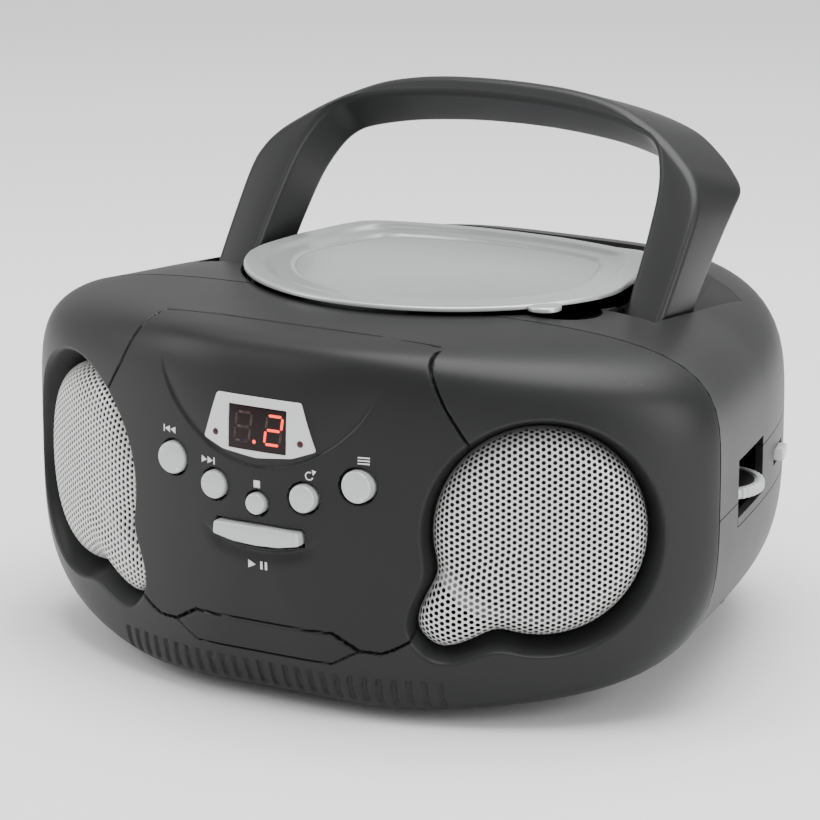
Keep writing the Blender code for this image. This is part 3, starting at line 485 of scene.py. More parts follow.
def speaker_axes(side):
    c, s = math.cos(SPEAKER_TURN), math.sin(SPEAKER_TURN)
    centre = np.array([side * SPEAKER[0], SPEAKER[1], SPEAKER[2]])
    return centre, np.array([side * c, s, 0.0]), np.array([side * s, -c, 0.0])


def lobed(angle, radius, spread):
    away = np.abs((np.degrees(angle) - LOBE_ANGLE + 180.0) % 360.0 - 180.0)
    return radius + LOBE_REACH * np.exp(-((away / spread) ** 2.77))


def speaker_local(p, side):
    """Places in a speaker's own axes: distance and angle in its plane, and height along its axis."""
    centre, across, out = speaker_axes(side)
    rel = p - centre
    u = rel @ across
    v = rel[:, 2]
    return np.hypot(u, v), np.arctan2(v, u) % TAU, rel @ out


# ---------------------------------------------------------------- front casing

def front_grid():
    """Rays from the middle of the seam to a box round the front half: a ring of sides and one front face."""
    xs = np.linspace(-1.0, 1.0, 401)
    zs = np.linspace(-1.0, 1.0, 261)
    seam = np.concatenate([[0.0, 0.0015, 0.003, 0.005, 0.008, 0.013], np.linspace(0.022, 1.0, 112)])
    loop = [(x, -1.0) for x in xs[:-1]] + [(1.0, z) for z in zs[:-1]]
    loop += [(x, 1.0) for x in xs[:0:-1]] + [(-1.0, z) for z in zs[:0:-1]]
    count = len(loop)
    loop = np.array(loop)
    rays = []
    for b in seam:
        rays.append(np.column_stack([loop[:, 0] * HALF_WIDTH, np.full(count, -b * NOSE),
                                     np.where(loop[:, 1] > 0, CROWN, KEEL) * loop[:, 1]]))
    base = len(seam) * count
    nx, nz = len(xs), len(zs)
    gx, gz = np.meshgrid(xs[1:-1], zs[1:-1], indexing="ij")
    rays.append(np.column_stack([gx.ravel() * HALF_WIDTH, np.full(gx.size, -NOSE),
                                 (np.where(gz > 0, CROWN, KEEL) * gz).ravel()]))
    index = np.zeros((nx, nz), dtype=np.int64)
    index[1:-1, 1:-1] = base + np.arange((nx - 2) * (nz - 2)).reshape(nx - 2, nz - 2)
    last = (len(seam) - 1) * count
    k = 0
    for i in range(nx - 1):
        index[i, 0] = last + k
        k += 1
    for j in range(nz - 1):
        index[nx - 1, j] = last + k
        k += 1
    for i in range(nx - 1, 0, -1):
        index[i, nz - 1] = last + k
        k += 1
    for j in range(nz - 1, 0, -1):
        index[0, j] = last + k
        k += 1
    j = np.arange(count)
    faces = []
    for i in range(len(seam) - 1):
        a = i * count + j
        b = i * count + (j + 1) % count
        faces.append(np.column_stack([a, b, b + count, a + count]))
    faces.append(np.column_stack([index[:-1, :-1].ravel(), index[1:, :-1].ravel(),
                                  index[1:, 1:].ravel(), index[:-1, 1:].ravel()]))
    return np.concatenate(rays), np.concatenate(faces)


def groove(distance, half, depth, soft=0.35):
    return -depth * (1.0 - smoothstep(half, half + soft, distance))


ARC = [tuple(p) for p in spline([(x, z, 0) for x, z in (
    (-38.6, 104.0), (-36.4, 98.0), (-32.6, 91.8), (-28.0, 87.0), (-23.0, 83.0), (-13.5, 77.8), (0.0, 75.4),
    (13.5, 77.8), (23.0, 83.0), (28.0, 87.0), (32.6, 91.8), (36.4, 98.0), (38.6, 104.0))], 8)]
SMILE = [tuple(p) for p in spline([(x, z, 0) for x, z in (
    (-20.5, 55.6), (-16.0, 52.6), (-9.0, 50.6), (0.0, 49.8), (9.0, 50.6), (16.0, 52.6), (20.5, 55.6))], 8)]


def front_features(p, n):
    """Every groove, slot, well and recess of the front half, as a movement of its surface points."""
    x, y, z = p[:, 0], p[:, 1], p[:, 2]
    depth = np.zeros(len(p))
    faces_front = n[:, 1] < -0.2
    panel = mirrored(PANEL_HALF)
    side_seam = [q for q in PANEL_HALF if q[1] < 120.0 and q != (0.0, 27.5)]
    for side in (-1.0, 1.0):
        line = [(side * a, b) for a, b in side_seam]
        d = distance_to_line(x, z, line)
        depth = np.minimum(depth, np.where((z < 111.9) & (y < PANEL_TOP_Y + 3.0), groove(d, 0.16, 1.1, 0.3),
                                           0.0))
    top = np.hypot(y - PANEL_TOP_Y, np.maximum(np.abs(x) - 48.6, 0.0))
    depth = np.minimum(depth, np.where(z > 100.0, groove(top, 0.16, 1.1, 0.3), 0.0))
    badge = mirrored(BADGE_HALF)
    d = distance_to_line(x, z, badge, closed=True)
    in_badge = inside_polygon(x, z, badge)
    depth = depth + np.where(in_badge & faces_front, 0.4 * smoothstep(0.1, 0.7, d), 0.0)
    depth = np.where(faces_front & (z < 40.0), np.minimum(depth, 0.4) + groove(d, 0.06, 0.6, 0.3), depth)
    d = distance_to_line(x, z, ARC)
    within = inside_polygon(x, z, ARC)
    fade = smoothstep(106.0, 92.0, z)
    hollow = np.where(within, np.exp(-d / 4.0) * smoothstep(-0.2, 0.5, d), 0.0)
    depth = depth - np.where(faces_front & (z > 70.0), 0.75 * hollow * fade, 0.0)
    d = distance_to_line(x, z, SMILE)
    below = z < np.interp(x, [q[0] for q in SMILE], [q[1] for q in SMILE])
    ends = smoothstep(21.5, 13.0, np.abs(x))
    slope = np.where(below, np.exp(-((d / 2.6) ** 2)), 1.0 - smoothstep(0.0, 0.7, d))
    depth = depth - np.where(faces_front & (np.abs(z - 52.0) < 12.0), 0.9 * slope * ends, 0.0)
    for name in BUTTONS:
        low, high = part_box(name + "_button")
        bx, bz = (low.x + high.x) * 500.0, (low.z + high.z) * 500.0
        radius = (high.x - low.x) * 500.0 - 1.2
        d = np.hypot(x - bx, z - bz)
        well = -3.2 * (1.0 - smoothstep(radius + 0.25, radius + 0.75, d))
        depth = np.where(faces_front & (d < radius + 2.0), np.minimum(depth, well), depth)
    bar = mirrored(BAR_HALF)
    d = distance_to_line(x, z, bar, closed=True)
    well = np.where(inside_polygon(x, z, bar), -3.2, -3.2 * (1.0 - smoothstep(0.2, 0.6, d)))
    depth = np.where(faces_front & (d < 10.0), np.minimum(depth, well), depth)
    slots = np.zeros(len(p))
    for i in range(26):
        cx = -55.0 + 4.4 * i
        across = 1.0 - smoothstep(0.55, 1.05, np.abs(x - cx))
        low_z, high_z = 6.6, 14.6
        along = 1.0 - smoothstep(-0.3, 0.2, np.maximum(low_z - z, z - high_z))
        slots = np.maximum(slots, across * along)
    depth = depth - np.where(y < -80.0, 0.65 * slots, 0.0)
    depth = depth + np.where(y > SEAM_Y - 1.2, -0.7 * (1.0 - smoothstep(0.0, 0.55, SEAM_Y - y)), 0.0)
    moved = p + n * depth[:, None]
    for side in (-1.0, 1.0):
        _, _, out = speaker_axes(side)
        r, angle, w = speaker_local(p, side)
        rim = lobed(angle, RECESS_R, 17.9)
        foot = lobed(angle, GRILLE_R, 15.5) + 0.45
        q = np.clip((rim - r) / np.maximum(rim - foot, 0.5), -0.5, 1.0)
        lip = 0.14
        run = np.where(q < lip, np.maximum(q + lip, 0.0) ** 2 / (4.0 * lip), q)
        near = (r < rim + 1.5) & (w > -14.0)
        drop = np.where(near, run * (w - RECESS_FLOOR), 0.0)
        ribs = np.where(near & (q > 0.15) & (q < 0.8) & (p[:, 2] > SPEAKER[2] + 12.0),
                        0.12 * (np.sin(angle * 150.0) > 0.2) * (np.sin(q * 22.0) > 0.0), 0.0)
        moved = moved - out * (drop + ribs)[:, None]
    return moved, panel, badge


def recess():
    """The hole the lid covers, seen from above: a little flatter in front than behind."""
    return [(x, LID_Y + (y if y > 0.0 else y * RECESS_FRONT / LID_RECESS)) for x, y in
            ellipse(0.0, 0.0, LID_RECESS, LID_RECESS, 128)]


def front_casing():
    rays, faces = front_grid()
    centre = np.array([0.0, SEAM_Y - 0.15, MID_Z])
    p = cast(rays, centre)
    n = normals(p)
    moved, panel, badge = front_features(p, n)
    middle = p[faces].mean(axis=1)
    open_hole = np.zeros(len(faces), dtype=bool)
    for side in (-1.0, 1.0):
        r, angle, w = speaker_local(middle, side)
        open_hole |= (r < lobed(angle, GRILLE_R, 15.5) - 1.4) & (w > -14.0)
    open_hole |= inside_polygon(middle[:, 0], middle[:, 1], recess()) & (middle[:, 2] > 105.0)
    front = middle[:, 1] < PANEL_TOP_Y
    in_badge = front & inside_polygon(middle[:, 0], middle[:, 2], badge)
    in_panel = front & inside_polygon(middle[:, 0], middle[:, 2], panel) & ~in_badge
    parts = (("front_casing", ~in_panel & ~in_badge, SHELL, "front_shell"),
             ("centre_panel", in_panel, PANEL, "control_panel"),
             ("badge_panel", in_badge, PANEL, "badge_plate"))
    for name, chosen, mat, cad in parts:
        keep = faces[chosen & ~open_hole]
        used, inverse = np.unique(keep, return_inverse=True)
        points = moved[used]
        inward = n[used]
        keep = inverse.reshape(keep.shape)
        edges = np.sort(np.concatenate([keep[:, [0, 1]], keep[:, [1, 2]], keep[:, [2, 3]], keep[:, [3, 0]]]),
                        axis=1)
        directed = np.concatenate([keep[:, [0, 1]], keep[:, [1, 2]], keep[:, [2, 3]], keep[:, [3, 0]]])
        _, first, counts = np.unique(edges, axis=0, return_index=True, return_counts=True)
        rim = directed[first[counts == 1]]
        rim_points, rim_inverse = np.unique(rim, return_inverse=True)
        rim_inverse = rim_inverse.reshape(rim.shape)
        base = len(points)
        lower = points[rim_points] - inward[rim_points] * 1.6
        walls = np.column_stack([rim[:, 1], rim[:, 0], base + rim_inverse[:, 0], base + rim_inverse[:, 1]])
        make_mesh(name, np.concatenate([points, lower]), np.concatenate([keep, walls]), mat,
                  "casing", (cad,), 42.0)


# ---------------------------------------------------------------- speaker grilles

def grille(side, label):
    """A sheet with round holes on a hexagonal lattice, laid over a dome with a steep edge."""
    pitch = 1.92
    hole = 0.68
    centre, across, out = speaker_axes(side)
    base_w, crown_inset = -5.4, 1.2
    table = np.linspace(0.0, 1.0, 400)
    reach, tall = 33.0, 8.5
    rho = np.sin(table * math.pi / 2)
    fall = tall * (1.0 - (1.0 - rho ** 7.0) ** 0.5)
    arc = np.concatenate([[0.0], np.cumsum(np.hypot(np.diff(rho) * reach, np.diff(fall)))])
    extra = arc[-1] - reach
    cells = []
    rows = int(60 / pitch) + 2
    for i in range(-rows, rows + 1):
        for j in range(-rows, rows + 1):
            a = pitch * j * math.sqrt(3.0) / 2.0
            b = pitch * (i + 0.5 * (j % 2))
            angle = math.atan2(b, a) % TAU
            limit = float(lobed(np.array(angle), GRILLE_R, 15.5)) + extra
            if math.hypot(a, b) < limit - 0.75 * pitch:
                cells.append((a, b))
    spots = {}
    sheet = []

    def spot(a, b):
        key = (round(a * 50), round(b * 50))
        if key not in spots:
            spots[key] = len(sheet)
            sheet.append((a, b))
        return spots[key]

    corner = pitch / math.sqrt(3.0)
    faces = []
    hole_rings = []
    for a, b in cells:
        outer = []
        for k in range(6):
            t0 = math.radians(60 * k)
            t1 = math.radians(60 * (k + 1))
            p0 = (a + corner * math.cos(t0), b + corner * math.sin(t0))
            p1 = (a + corner * math.cos(t1), b + corner * math.sin(t1))
            outer.append(spot(*p0))
            outer.append(spot((p0[0] + p1[0]) / 2, (p0[1] + p1[1]) / 2))
        inner = []
        for k in range(12):
            t = math.radians(30 * k)
            inner.append(len(sheet))
            sheet.append((a + hole * math.cos(t), b + hole * math.sin(t)))
        hole_rings.append(inner)
        for k in range(12):
            m = (k + 1) % 12
            faces.append((outer[k], outer[m], inner[m], inner[k]))
    count = {}
    for f in faces:
        for k in range(4):
            e = (f[k], f[(k + 1) % 4])
            count[e] = count.get(e, 0) + 1
    ring_edges = {(r[(k + 1) % 12], r[k]) for r in hole_rings for k in range(12)}
    ring_edges |= {(b, a) for a, b in ring_edges}
    border = [e for e in count if (e[1], e[0]) not in count and e not in ring_edges]
    on_border = sorted({v for e in border for v in e})
    flat = np.array(sheet)
    angle = np.arctan2(flat[:, 1], flat[:, 0]) % TAU
    limit = lobed(angle, GRILLE_R, 15.5)
    radius = np.hypot(flat[:, 0], flat[:, 1])
    radius[on_border] = (limit + extra)[on_border]
    share = np.clip(radius / (limit + extra), 0.0, 1.0) * arc[-1]
    r_share = np.interp(share, arc, rho)
    u = r_share * limit * np.cos(angle)
    v = r_share * limit * np.sin(angle)
    base = centre + np.outer(u, across) + np.outer(v, [0.0, 0.0, 1.0])
    low = np.full(len(u), -20.0)
    high = np.full(len(u), 20.0)
    for _ in range(30):
        mid = 0.5 * (low + high)
        inside = level(base + np.outer(mid, out), crown_inset) < 0.0
        low = np.where(inside, mid, low)
        high = np.where(inside, high, mid)
    crown = low
    w = base_w + (crown - base_w) * np.maximum(1.0 - r_share ** 7.0, 0.0) ** 0.5
    top = base + np.outer(w, out)
    thick = 0.4
    n = len(top)
    under = top - np.outer(np.full(n, thick), out)
    ring = [i for r in hole_rings for i in r]
    lower_index = {i: n + k for k, i in enumerate(ring)}
    points = np.concatenate([top, under[ring]])
    walls = []
    for r in hole_rings:
        for k in range(12):
            m = (k + 1) % 12
            walls.append((r[k], r[m], lower_index[r[m]], lower_index[r[k]]))
    skirt_index = {v: len(points) + k for k, v in enumerate(on_border)}
    skirt = top[on_border] - out * 2.2
    points = np.concatenate([points, skirt])
    for a, b in border:
        walls.append((b, a, skirt_index[a], skirt_index[b]))
    make_mesh("grille_mesh_" + label, points, faces + walls, MESH, "casing",
              ("speaker_grille_" + label,), 50.0, outward)


# ---------------------------------------------------------------- rear casing

def loft(name, stations, inset, count):
    angles = TAU * (np.arange(count) + 0.5) / count
    points = []
    for y in stations:
        width, up, down, upper, lower = [float(v) for v in section(y + 1e-6, inset)]
        c, s = np.cos(angles), np.sin(angles)
        power = np.where(s > 0, upper, lower)
        height = np.where(s > 0, up, down)
        reach = ((np.abs(c) / width) ** power + (np.abs(s) / height) ** power) ** (-1.0 / power)
        points += [(reach[i] * c[i], y, MID_Z + reach[i] * s[i]) for i in range(count)]
    faces = []
    for f in ring_faces(len(stations), count):
        faces += [f] if len(f) > 4 else [f[:3], (f[0], f[2], f[3])]
    return scratch(name, points, faces)


def tail(inset, first):
    steps = [0.04 * i for i in range(1, 16)] + [0.63, 0.66, 0.69, 0.72, 0.75, 0.775, 0.8, 0.825, 0.85, 0.87,
                                                0.89,
                                               0.905, 0.92, 0.935, 0.948, 0.96, 0.97]
    return [first] + [SEAM_Y + (TAIL - inset) * t for t in steps] + [SEAM_Y + TAIL_CUT - inset]


def rear_solid(name):
    return loft(name, tail(0.0, SEAM_Y + 0.15), 0.0, 150)


def rear_core(name):
    return loft(name, [SEAM_Y - 6.0] + tail(WALL, SEAM_Y), WALL, 100)


def leg_channel(name, side, spare, top):
    reach = HANDLE_HALF_DEPTH + 0.7 + spare
    outline = []
    for i in range(17):
        a = math.pi + (math.pi - HANDLE_FOLDED) * i / 16
        outline.append((PIVOT_Y + reach * math.cos(a), PIVOT_Z + reach * math.sin(a)))
    y, z = outline[-1]
    outline.append((y + CHANNEL_RUN * math.sin(HANDLE_FOLDED), z + CHANNEL_RUN * math.cos(HANDLE_FOLDED)))
    outline.append((y + CHANNEL_RUN * math.sin(HANDLE_FOLDED), top + 6.0))
    outline.append((PIVOT_Y - reach, top + 6.0))
    low, high = sorted((side * (LEG_CHANNEL[0] - spare), side * (LEG_CHANNEL[1] + spare)))
    return prism(name, outline, low, high, "X")


def shoulder_channel(name, side, spare):
    reach = HANDLE_HALF_DEPTH + 0.7 + spare
    y = PIVOT_Y + reach * math.cos(HANDLE_FOLDED)
    z = PIVOT_Z - reach * math.sin(HANDLE_FOLDED)
    front = 24.0 - spare
    floor = z + (front - y) / math.tan(HANDLE_FOLDED)
    rear = front + 74.0
    outline = ((front, floor), (rear, floor + 74.0 / math.tan(HANDLE_FOLDED)), (rear, 128.0), (front, 128.0))
    low, high = sorted((side * (56.5 - spare), side * 68.0))
    return prism(name, outline, low, high, "X")


def cut_core(name):
    core = rear_core(name)
    steps = []
    for side in (-1.0, 1.0):
        low, high = sorted((side * 36.0, side * 46.0))
        steps += [("DIFFERENCE", leg_channel("c", side, 1.4, 116.0)),
                  ("DIFFERENCE", shoulder_channel("c", side, 1.4)),
                  ("DIFFERENCE", block("c", (low, 69.0, 102.0), (high, 83.0, 118.0)))]
    steps += [("DIFFERENCE", prism("c", ellipse(57.0, -19.5, 12.4, 13.6), 101.0, 118.0, "Z")),
              ("DIFFERENCE", block("c", (-60.0, 92.0, 94.0), (60.0, 112.0, 120.0)))]
    mesh = carve(core, steps)
    obj = bpy.data.objects.new(name, mesh)
    bpy.context.scene.collection.objects.link(obj)
    return obj


def strip_block(side, spare):
    low, high = sorted((side * 85.0, side * 125.0))
    return prism("c", rounded_rect((-17.0 - spare, 52.0 - spare), (62.0 + spare, 70.0 + spare), 1.0), low,
                 high, "X")


def wheel_slot(side):
    low, high = sorted((side * 88.0, side * 125.0))
    return block("c", (low, -17.0, 55.0), (high, 13.0, 73.0))


def slider_block(side, length, height, low, high):
    y = 38.0
    x = float(section(y)[0])
    slope = (float(section(y + 1.0)[0]) - float(section(y - 1.0)[0])) / 2.0
    along = Vector((side * slope, 1.0, 0.0)).normalized()
    out = Vector((along.y, -along.x, 0.0)) * side
    centre = Vector((side * x, y, 61.0))
    points = []
    for w in (low, high):
        for a, b in ((-0.5, -0.5), (0.5, -0.5), (0.5, 0.5), (-0.5, 0.5)):
            points.append(tuple(centre + along * (a * length) + Vector((0, 0, b * height)) + out * w))
    return scratch("c", points, ring_faces(2, 4))


def rear_casing():
    top_steps = [("DIFFERENCE", cut_core("core")),
                 ("DIFFERENCE", block("c", (-130.0, -60.0, -10.0), (130.0, 120.0, SPLIT_Z + 0.15))),
                 ("DIFFERENCE", prism("c", recess(), 104.0, 125.0, "Z")),
                 ("DIFFERENCE", prism("c", ellipse(0.0, WELL_Y, 63.0, 63.0, 96), 96.0, WELL_TOP + 0.4, "Z")),
                 ("DIFFERENCE", prism("c", ellipse(57.0, -19.5, 11.0, 12.2), 102.6, 125.0, "Z")),
                 ("DIFFERENCE", block("c", (-38.0, 66.0, 103.2), (38.0, 81.5, 125.0))),
                 ("DIFFERENCE", prism("c", rounded_rect((-57.0, 93.7), (57.0, 115.0), 1.5), 96.4, 120.0,
                                      "Z"))]
    for side in (-1.0, 1.0):
        top_steps += [("DIFFERENCE", leg_channel("c", side, 0.0, 120.0)),
                      ("DIFFERENCE", shoulder_channel("c", side, 0.0)),
                      ("DIFFERENCE", strip_block(side, 0.0)),
                      ("DIFFERENCE", wheel_slot(side))]
    adopt("top_casing", carve(rear_solid("top"), top_steps), SHELL, "casing",
          ("top_shell",))
    door = rounded_rect((-50.0, -26.0), (50.0, 46.0), 2.0)
    bottom_steps = [("DIFFERENCE", rear_core("core")),
                    ("DIFFERENCE", block("c", (-130.0, -60.0, SPLIT_Z - 0.15), (130.0, 120.0, 130.0))),
                    ("DIFFERENCE", prism("c", door, -5.0, 12.0, "Z")),
                    ("DIFFERENCE", block("c", (28.7, 80.0, 22.7), (51.3, 120.0, 39.3))),
                    ("DIFFERENCE", prism("c", ellipse(-40.0, 50.0, 3.4, 3.4, 48), 80.0, 120.0, "Y"))]
    for side in (-1.0, 1.0):
        bottom_steps.append(("DIFFERENCE", strip_block(side, 0.0)))
    for x, y in ((-72.0, -28.0), (72.0, -28.0), (-66.0, 62.0), (66.0, 62.0)):
        bottom_steps.append(("DIFFERENCE", prism("c", ellipse(x, y, 6.4, 6.4, 48), -5.0, 6.7, "Z")))
    adopt("bottom_casing", carve(rear_solid("bottom"), bottom_steps), SHELL, "casing",
          ("bottom_shell",))
    inner_door = rounded_rect((-49.7, -25.7), (49.7, 45.7), 1.8)
    steps = [("INTERSECT", prism("c", inner_door, -5.0, 12.0, "Z")), ("DIFFERENCE", rear_core("core"))]
    for i in range(7):
        steps.append(("DIFFERENCE", prism("c", rounded_rect((-12.0, 30.0 + 1.8 * i), (12.0, 30.9 + 1.8 * i),
                                                            0.4),
                                          0.0, 3.7, "Z")))
    adopt("door_panel", carve(rear_solid("door"), steps), SHELL, "battery_cover",
          ("battery_door",))
    for side, label in ((-1.0, "left"), (1.0, "right")):
        steps = [("INTERSECT", strip_block(side, -GAP)), ("DIFFERENCE", rear_core("core")),
                 ("DIFFERENCE", wheel_slot(side)), ("DIFFERENCE",
                                                    slider_block(side, 17.0, 5.0, -12.0, 12.0))]
        adopt("side_panel_" + label, carve(rear_solid("strip"), steps), SHELL, "casing",
              ("side_strip_" + label,))


# ---------------------------------------------------------------- controls

def buttons():
    for name in BUTTONS:
        low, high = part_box(name + "_button")
        x, z = (low.x + high.x) * 500.0, (low.z + high.z) * 500.0
        radius = (high.x - low.x) * 500.0 - 1.2
        face = low.y * 1000.0 + 2.0
        profile = rounded_profile(((0.0, 2.05), (0.55 * radius, 2.0), (radius - 0.35, 1.7), (radius, 1.0),
                                   (radius, -4.4),
                                   (radius + 1.2, -4.4), (radius + 1.2, -5.6), (1.8, -5.6), (1.8, -10.0),
                                   (0.0, -10.0)), 0.45, 5)
        points, faces = lathe(profile, (x, face, z), (0.0, -1.0, 0.0), 72)
        make_mesh(name + "_key", points, faces, KEY, name, (name + "_button",), 40.0, weld)
    outline = [tuple(q)[:2] for q in smooth_outline(mirrored(BAR_HALF), 1.0)]
    low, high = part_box("play_pause_button")
    face = low.y * 1000.0
    rings = ((0.9, 0.0), (0.45, 0.08), (0.14, 0.35), (0.0, 0.9), (0.0, 6.8))
    points = []
    for inset, back in rings:
        for qx, qz in grow(outline, -inset):
            points.append((qx, face + back + 0.0009 * qx * qx, qz))
    faces = ring_faces(len(rings), len(outline))
    make_mesh("play_pause_key", points, faces, KEY, "play_pause", ("play_pause_button",),
              40.0, outward)


def weld(mesh):
    """Merges the points that lie together on an axis and turns every face outwards."""
    bm = bmesh.new()
    bm.from_mesh(mesh)
    bmesh.ops.remove_doubles(bm, verts=bm.verts, dist=1e-7)
    bmesh.ops.recalc_face_normals(bm, faces=bm.faces)
    bm.to_mesh(mesh)
    bm.free()


def smooth_outline(points, radius, steps=5):
    """A closed outline with its corners rounded."""
    result = []
    count = len(points)
    for i in range(count):
        before, here, after = (Vector((*points[(i + k) % count], 0.0)) for k in (-1, 0, 1))
        a, b = before - here, after - here
        r = min(radius, a.length * 0.45, b.length * 0.45)
        start, end = here + a.normalized() * r, here + b.normalized() * r
        for j in range(steps + 1):
            t = j / steps
            result.append(start * (1 - t) ** 2 + here * 2 * t * (1 - t) + end * t * t)
    return result


def grow(outline, amount):
    count = len(outline)
    area = sum(outline[i - 1][0] * outline[i][1] - outline[i][0] * outline[i - 1][1] for i in range(count))
    side = amount if area > 0 else -amount
    result = []
    for i in range(count):
        a, b, c = (Vector(outline[(i + k) % count]) for k in (-1, 0, 1))
        first, second = (b - a).normalized(), (c - b).normalized()
        n1, n2 = Vector((first.y, -first.x)), Vector((second.y, -second.x))
        move = (n1 + n2) * (side / max(1.0 + n1.dot(n2), 0.3))
        result.append(tuple(b + move))
    return result


def resample(points, count):
    """Evenly spaced points along a closed outline."""
    pts = np.array([tuple(p)[:2] for p in points])
    pts = np.concatenate([pts, pts[:1]])
    run = np.concatenate([[0.0], np.cumsum(np.hypot(*np.diff(pts, axis=0).T))])
    at = np.linspace(0.0, run[-1], count, endpoint=False)
    return np.column_stack([np.interp(at, run, pts[:, 0]), np.interp(at, run, pts[:, 1])])


def display():
    count = 240
    outer = resample(smooth_outline(mirrored(BEZEL_HALF), 0.8), count)
    start = int(np.argmin(np.hypot(outer[:, 0], outer[:, 1] - 96.4)))
    outer = np.roll(outer, -start, axis=0)
    low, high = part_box("display_window")
    wx, wz0, wz1 = high.x * 1000.0, low.z * 1000.0, high.z * 1000.0
    window = smooth_outline([(0.0, wz1), (wx, wz1), (wx, wz0), (-wx, wz0), (-wx, wz1)], 0.25)
    inner = resample(window, count)
    start = int(np.argmin(np.hypot(inner[:, 0], inner[:, 1] - wz1)))
    inner = np.roll(inner, -start, axis=0)
    rings = ((0.0, 1.2), (0.0, -0.25), (0.012, -0.5), (0.04, -0.6), (0.3, -0.6), (0.6, -0.6), (0.95, -0.6),
             (0.985, -0.52), (1.0, -0.3), (1.0, 1.2))
    points = []
    for mix, back in rings:
        place = outer * (1.0 - mix) + inner * mix
        y = front_y(place[:, 0], place[:, 1]) + back
        points.append(np.column_stack([place[:, 0], y, place[:, 1]]))
    make_mesh("display_frame", np.concatenate(points), ring_faces(len(rings), count, caps=(False, False)),
              BEZEL,
              "casing", ("display_bezel",), 35.0, outward)
    xs = np.linspace(-wx, wx, 41)
    zs = np.linspace(wz0, wz1, 27)
    gx, gz = np.meshgrid(xs, zs, indexing="ij")
    y = front_y(gx.ravel(), gz.ravel()) - 0.15
    points = np.column_stack([gx.ravel(), y, gz.ravel()])
    index = np.arange(41 * 27).reshape(41, 27)
    faces = np.column_stack([index[:-1, :-1].ravel(), index[1:, :-1].ravel(), index[1:, 1:].ravel(),
                             index[:-1, 1:].ravel()])
    pane = make_mesh("display_pane", points, faces, WINDOW, "casing", ("display_window",),
                     60.0)
    thick = pane.modifiers.new("thickness", "SOLIDIFY")
    thick.thickness = 1.2 * MM
    thick.offset = -1.0
    digits()
    for name in ("power_lamp", "stereo_lamp"):
        low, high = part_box(name)
        x, z = (low.x + high.x) * 500.0, (low.z + high.z) * 500.0
        face = low.y * 1000.0 + 0.2
        points, faces = lathe(rounded_profile(((0.0, 0.35), (0.8, 0.25), (1.1, -0.2), (1.1, -5.0),
                                               (0.0, -5.0)), 0.3, 4),
                              (x, face, z), (0.0, -1.0, 0.0), 32)
        make_mesh(name + "_lens", points, faces, LAMP, "casing", (name,), 40.0, weld)


def flat_shapes(name, outlines, mat, proud, body="casing"):
    """Thin printed or lit shapes that lie on the casing's front surface."""
    points, faces = [], []
    for outline in outlines:
        xs = np.array([q[0] for q in outline])
        zs = np.array([q[1] for q in outline])
        y = front_y(xs, zs) - proud
        start = len(points)
        points += [(a, b, c) for a, b, c in zip(xs, y, zs)]
        faces.append(tuple(range(start, len(points))))
    piece = make_mesh(name, points, faces, mat, body, (), 60.0, face_front)
    thick = piece.modifiers.new("thickness", "SOLIDIFY")
    thick.thickness = 0.02 * MM
    thick.offset = -1.0
    return piece


def face_front(mesh):
    """Turns every face towards -Y."""
    bm = bmesh.new()
    bm.from_mesh(mesh)
    bm.normal_update()
    wrong = [f for f in bm.faces if f.normal.y > 0]
    bmesh.ops.reverse_faces(bm, faces=wrong)
    bm.to_mesh(mesh)
    bm.free()


def segment(ax, az, bx, bz, half=0.42):
    a, b = Vector((ax, az)), Vector((bx, bz))
    d = (b - a).normalized()
    s = Vector((-d.y, d.x)) * half
    a, b = a + d * half * 0.7, b - d * half * 0.7
    return [tuple(a), tuple(a + d * half + s), tuple(b - d * half + s), tuple(b), tuple(b - d * half - s),
            tuple(a + d * half - s)]


def digit_lines(x, z, wide, tall, lean):
    def at(i, j):
        return (x + wide * i + lean * j, z + tall * j)
    a, b, c, d, e, f = at(0, 1), at(1, 1), at(0, 0.5), at(1, 0.5), at(0, 0), at(1, 0)
    return {"top": (a, b), "upper_left": (a, c), "upper_right": (b, d), "middle": (c, d),
            "lower_left": (c, e),
            "lower_right": (d, f), "bottom": (e, f)}


def digits():
    lit, unlit = [], []
    lines = digit_lines(2.6, 82.9, 5.2, 8.6, 0.9)
    for key, (p, q) in lines.items():
        (lit if key in ("top", "upper_right", "middle", "lower_left",
                        "bottom") else unlit).append(segment(*p, *q))
    for key, (p, q) in digit_lines(-8.0, 82.9, 5.2, 8.6, 0.9).items():
        unlit.append(segment(*p, *q))
    lit.append(ellipse(-0.9, 83.1, 0.6, 0.6, 20))
    flat_shapes("lit_segments", lit, GLOW, 0.2)
    flat_shapes("unlit_segments", unlit, DIM, 0.18)


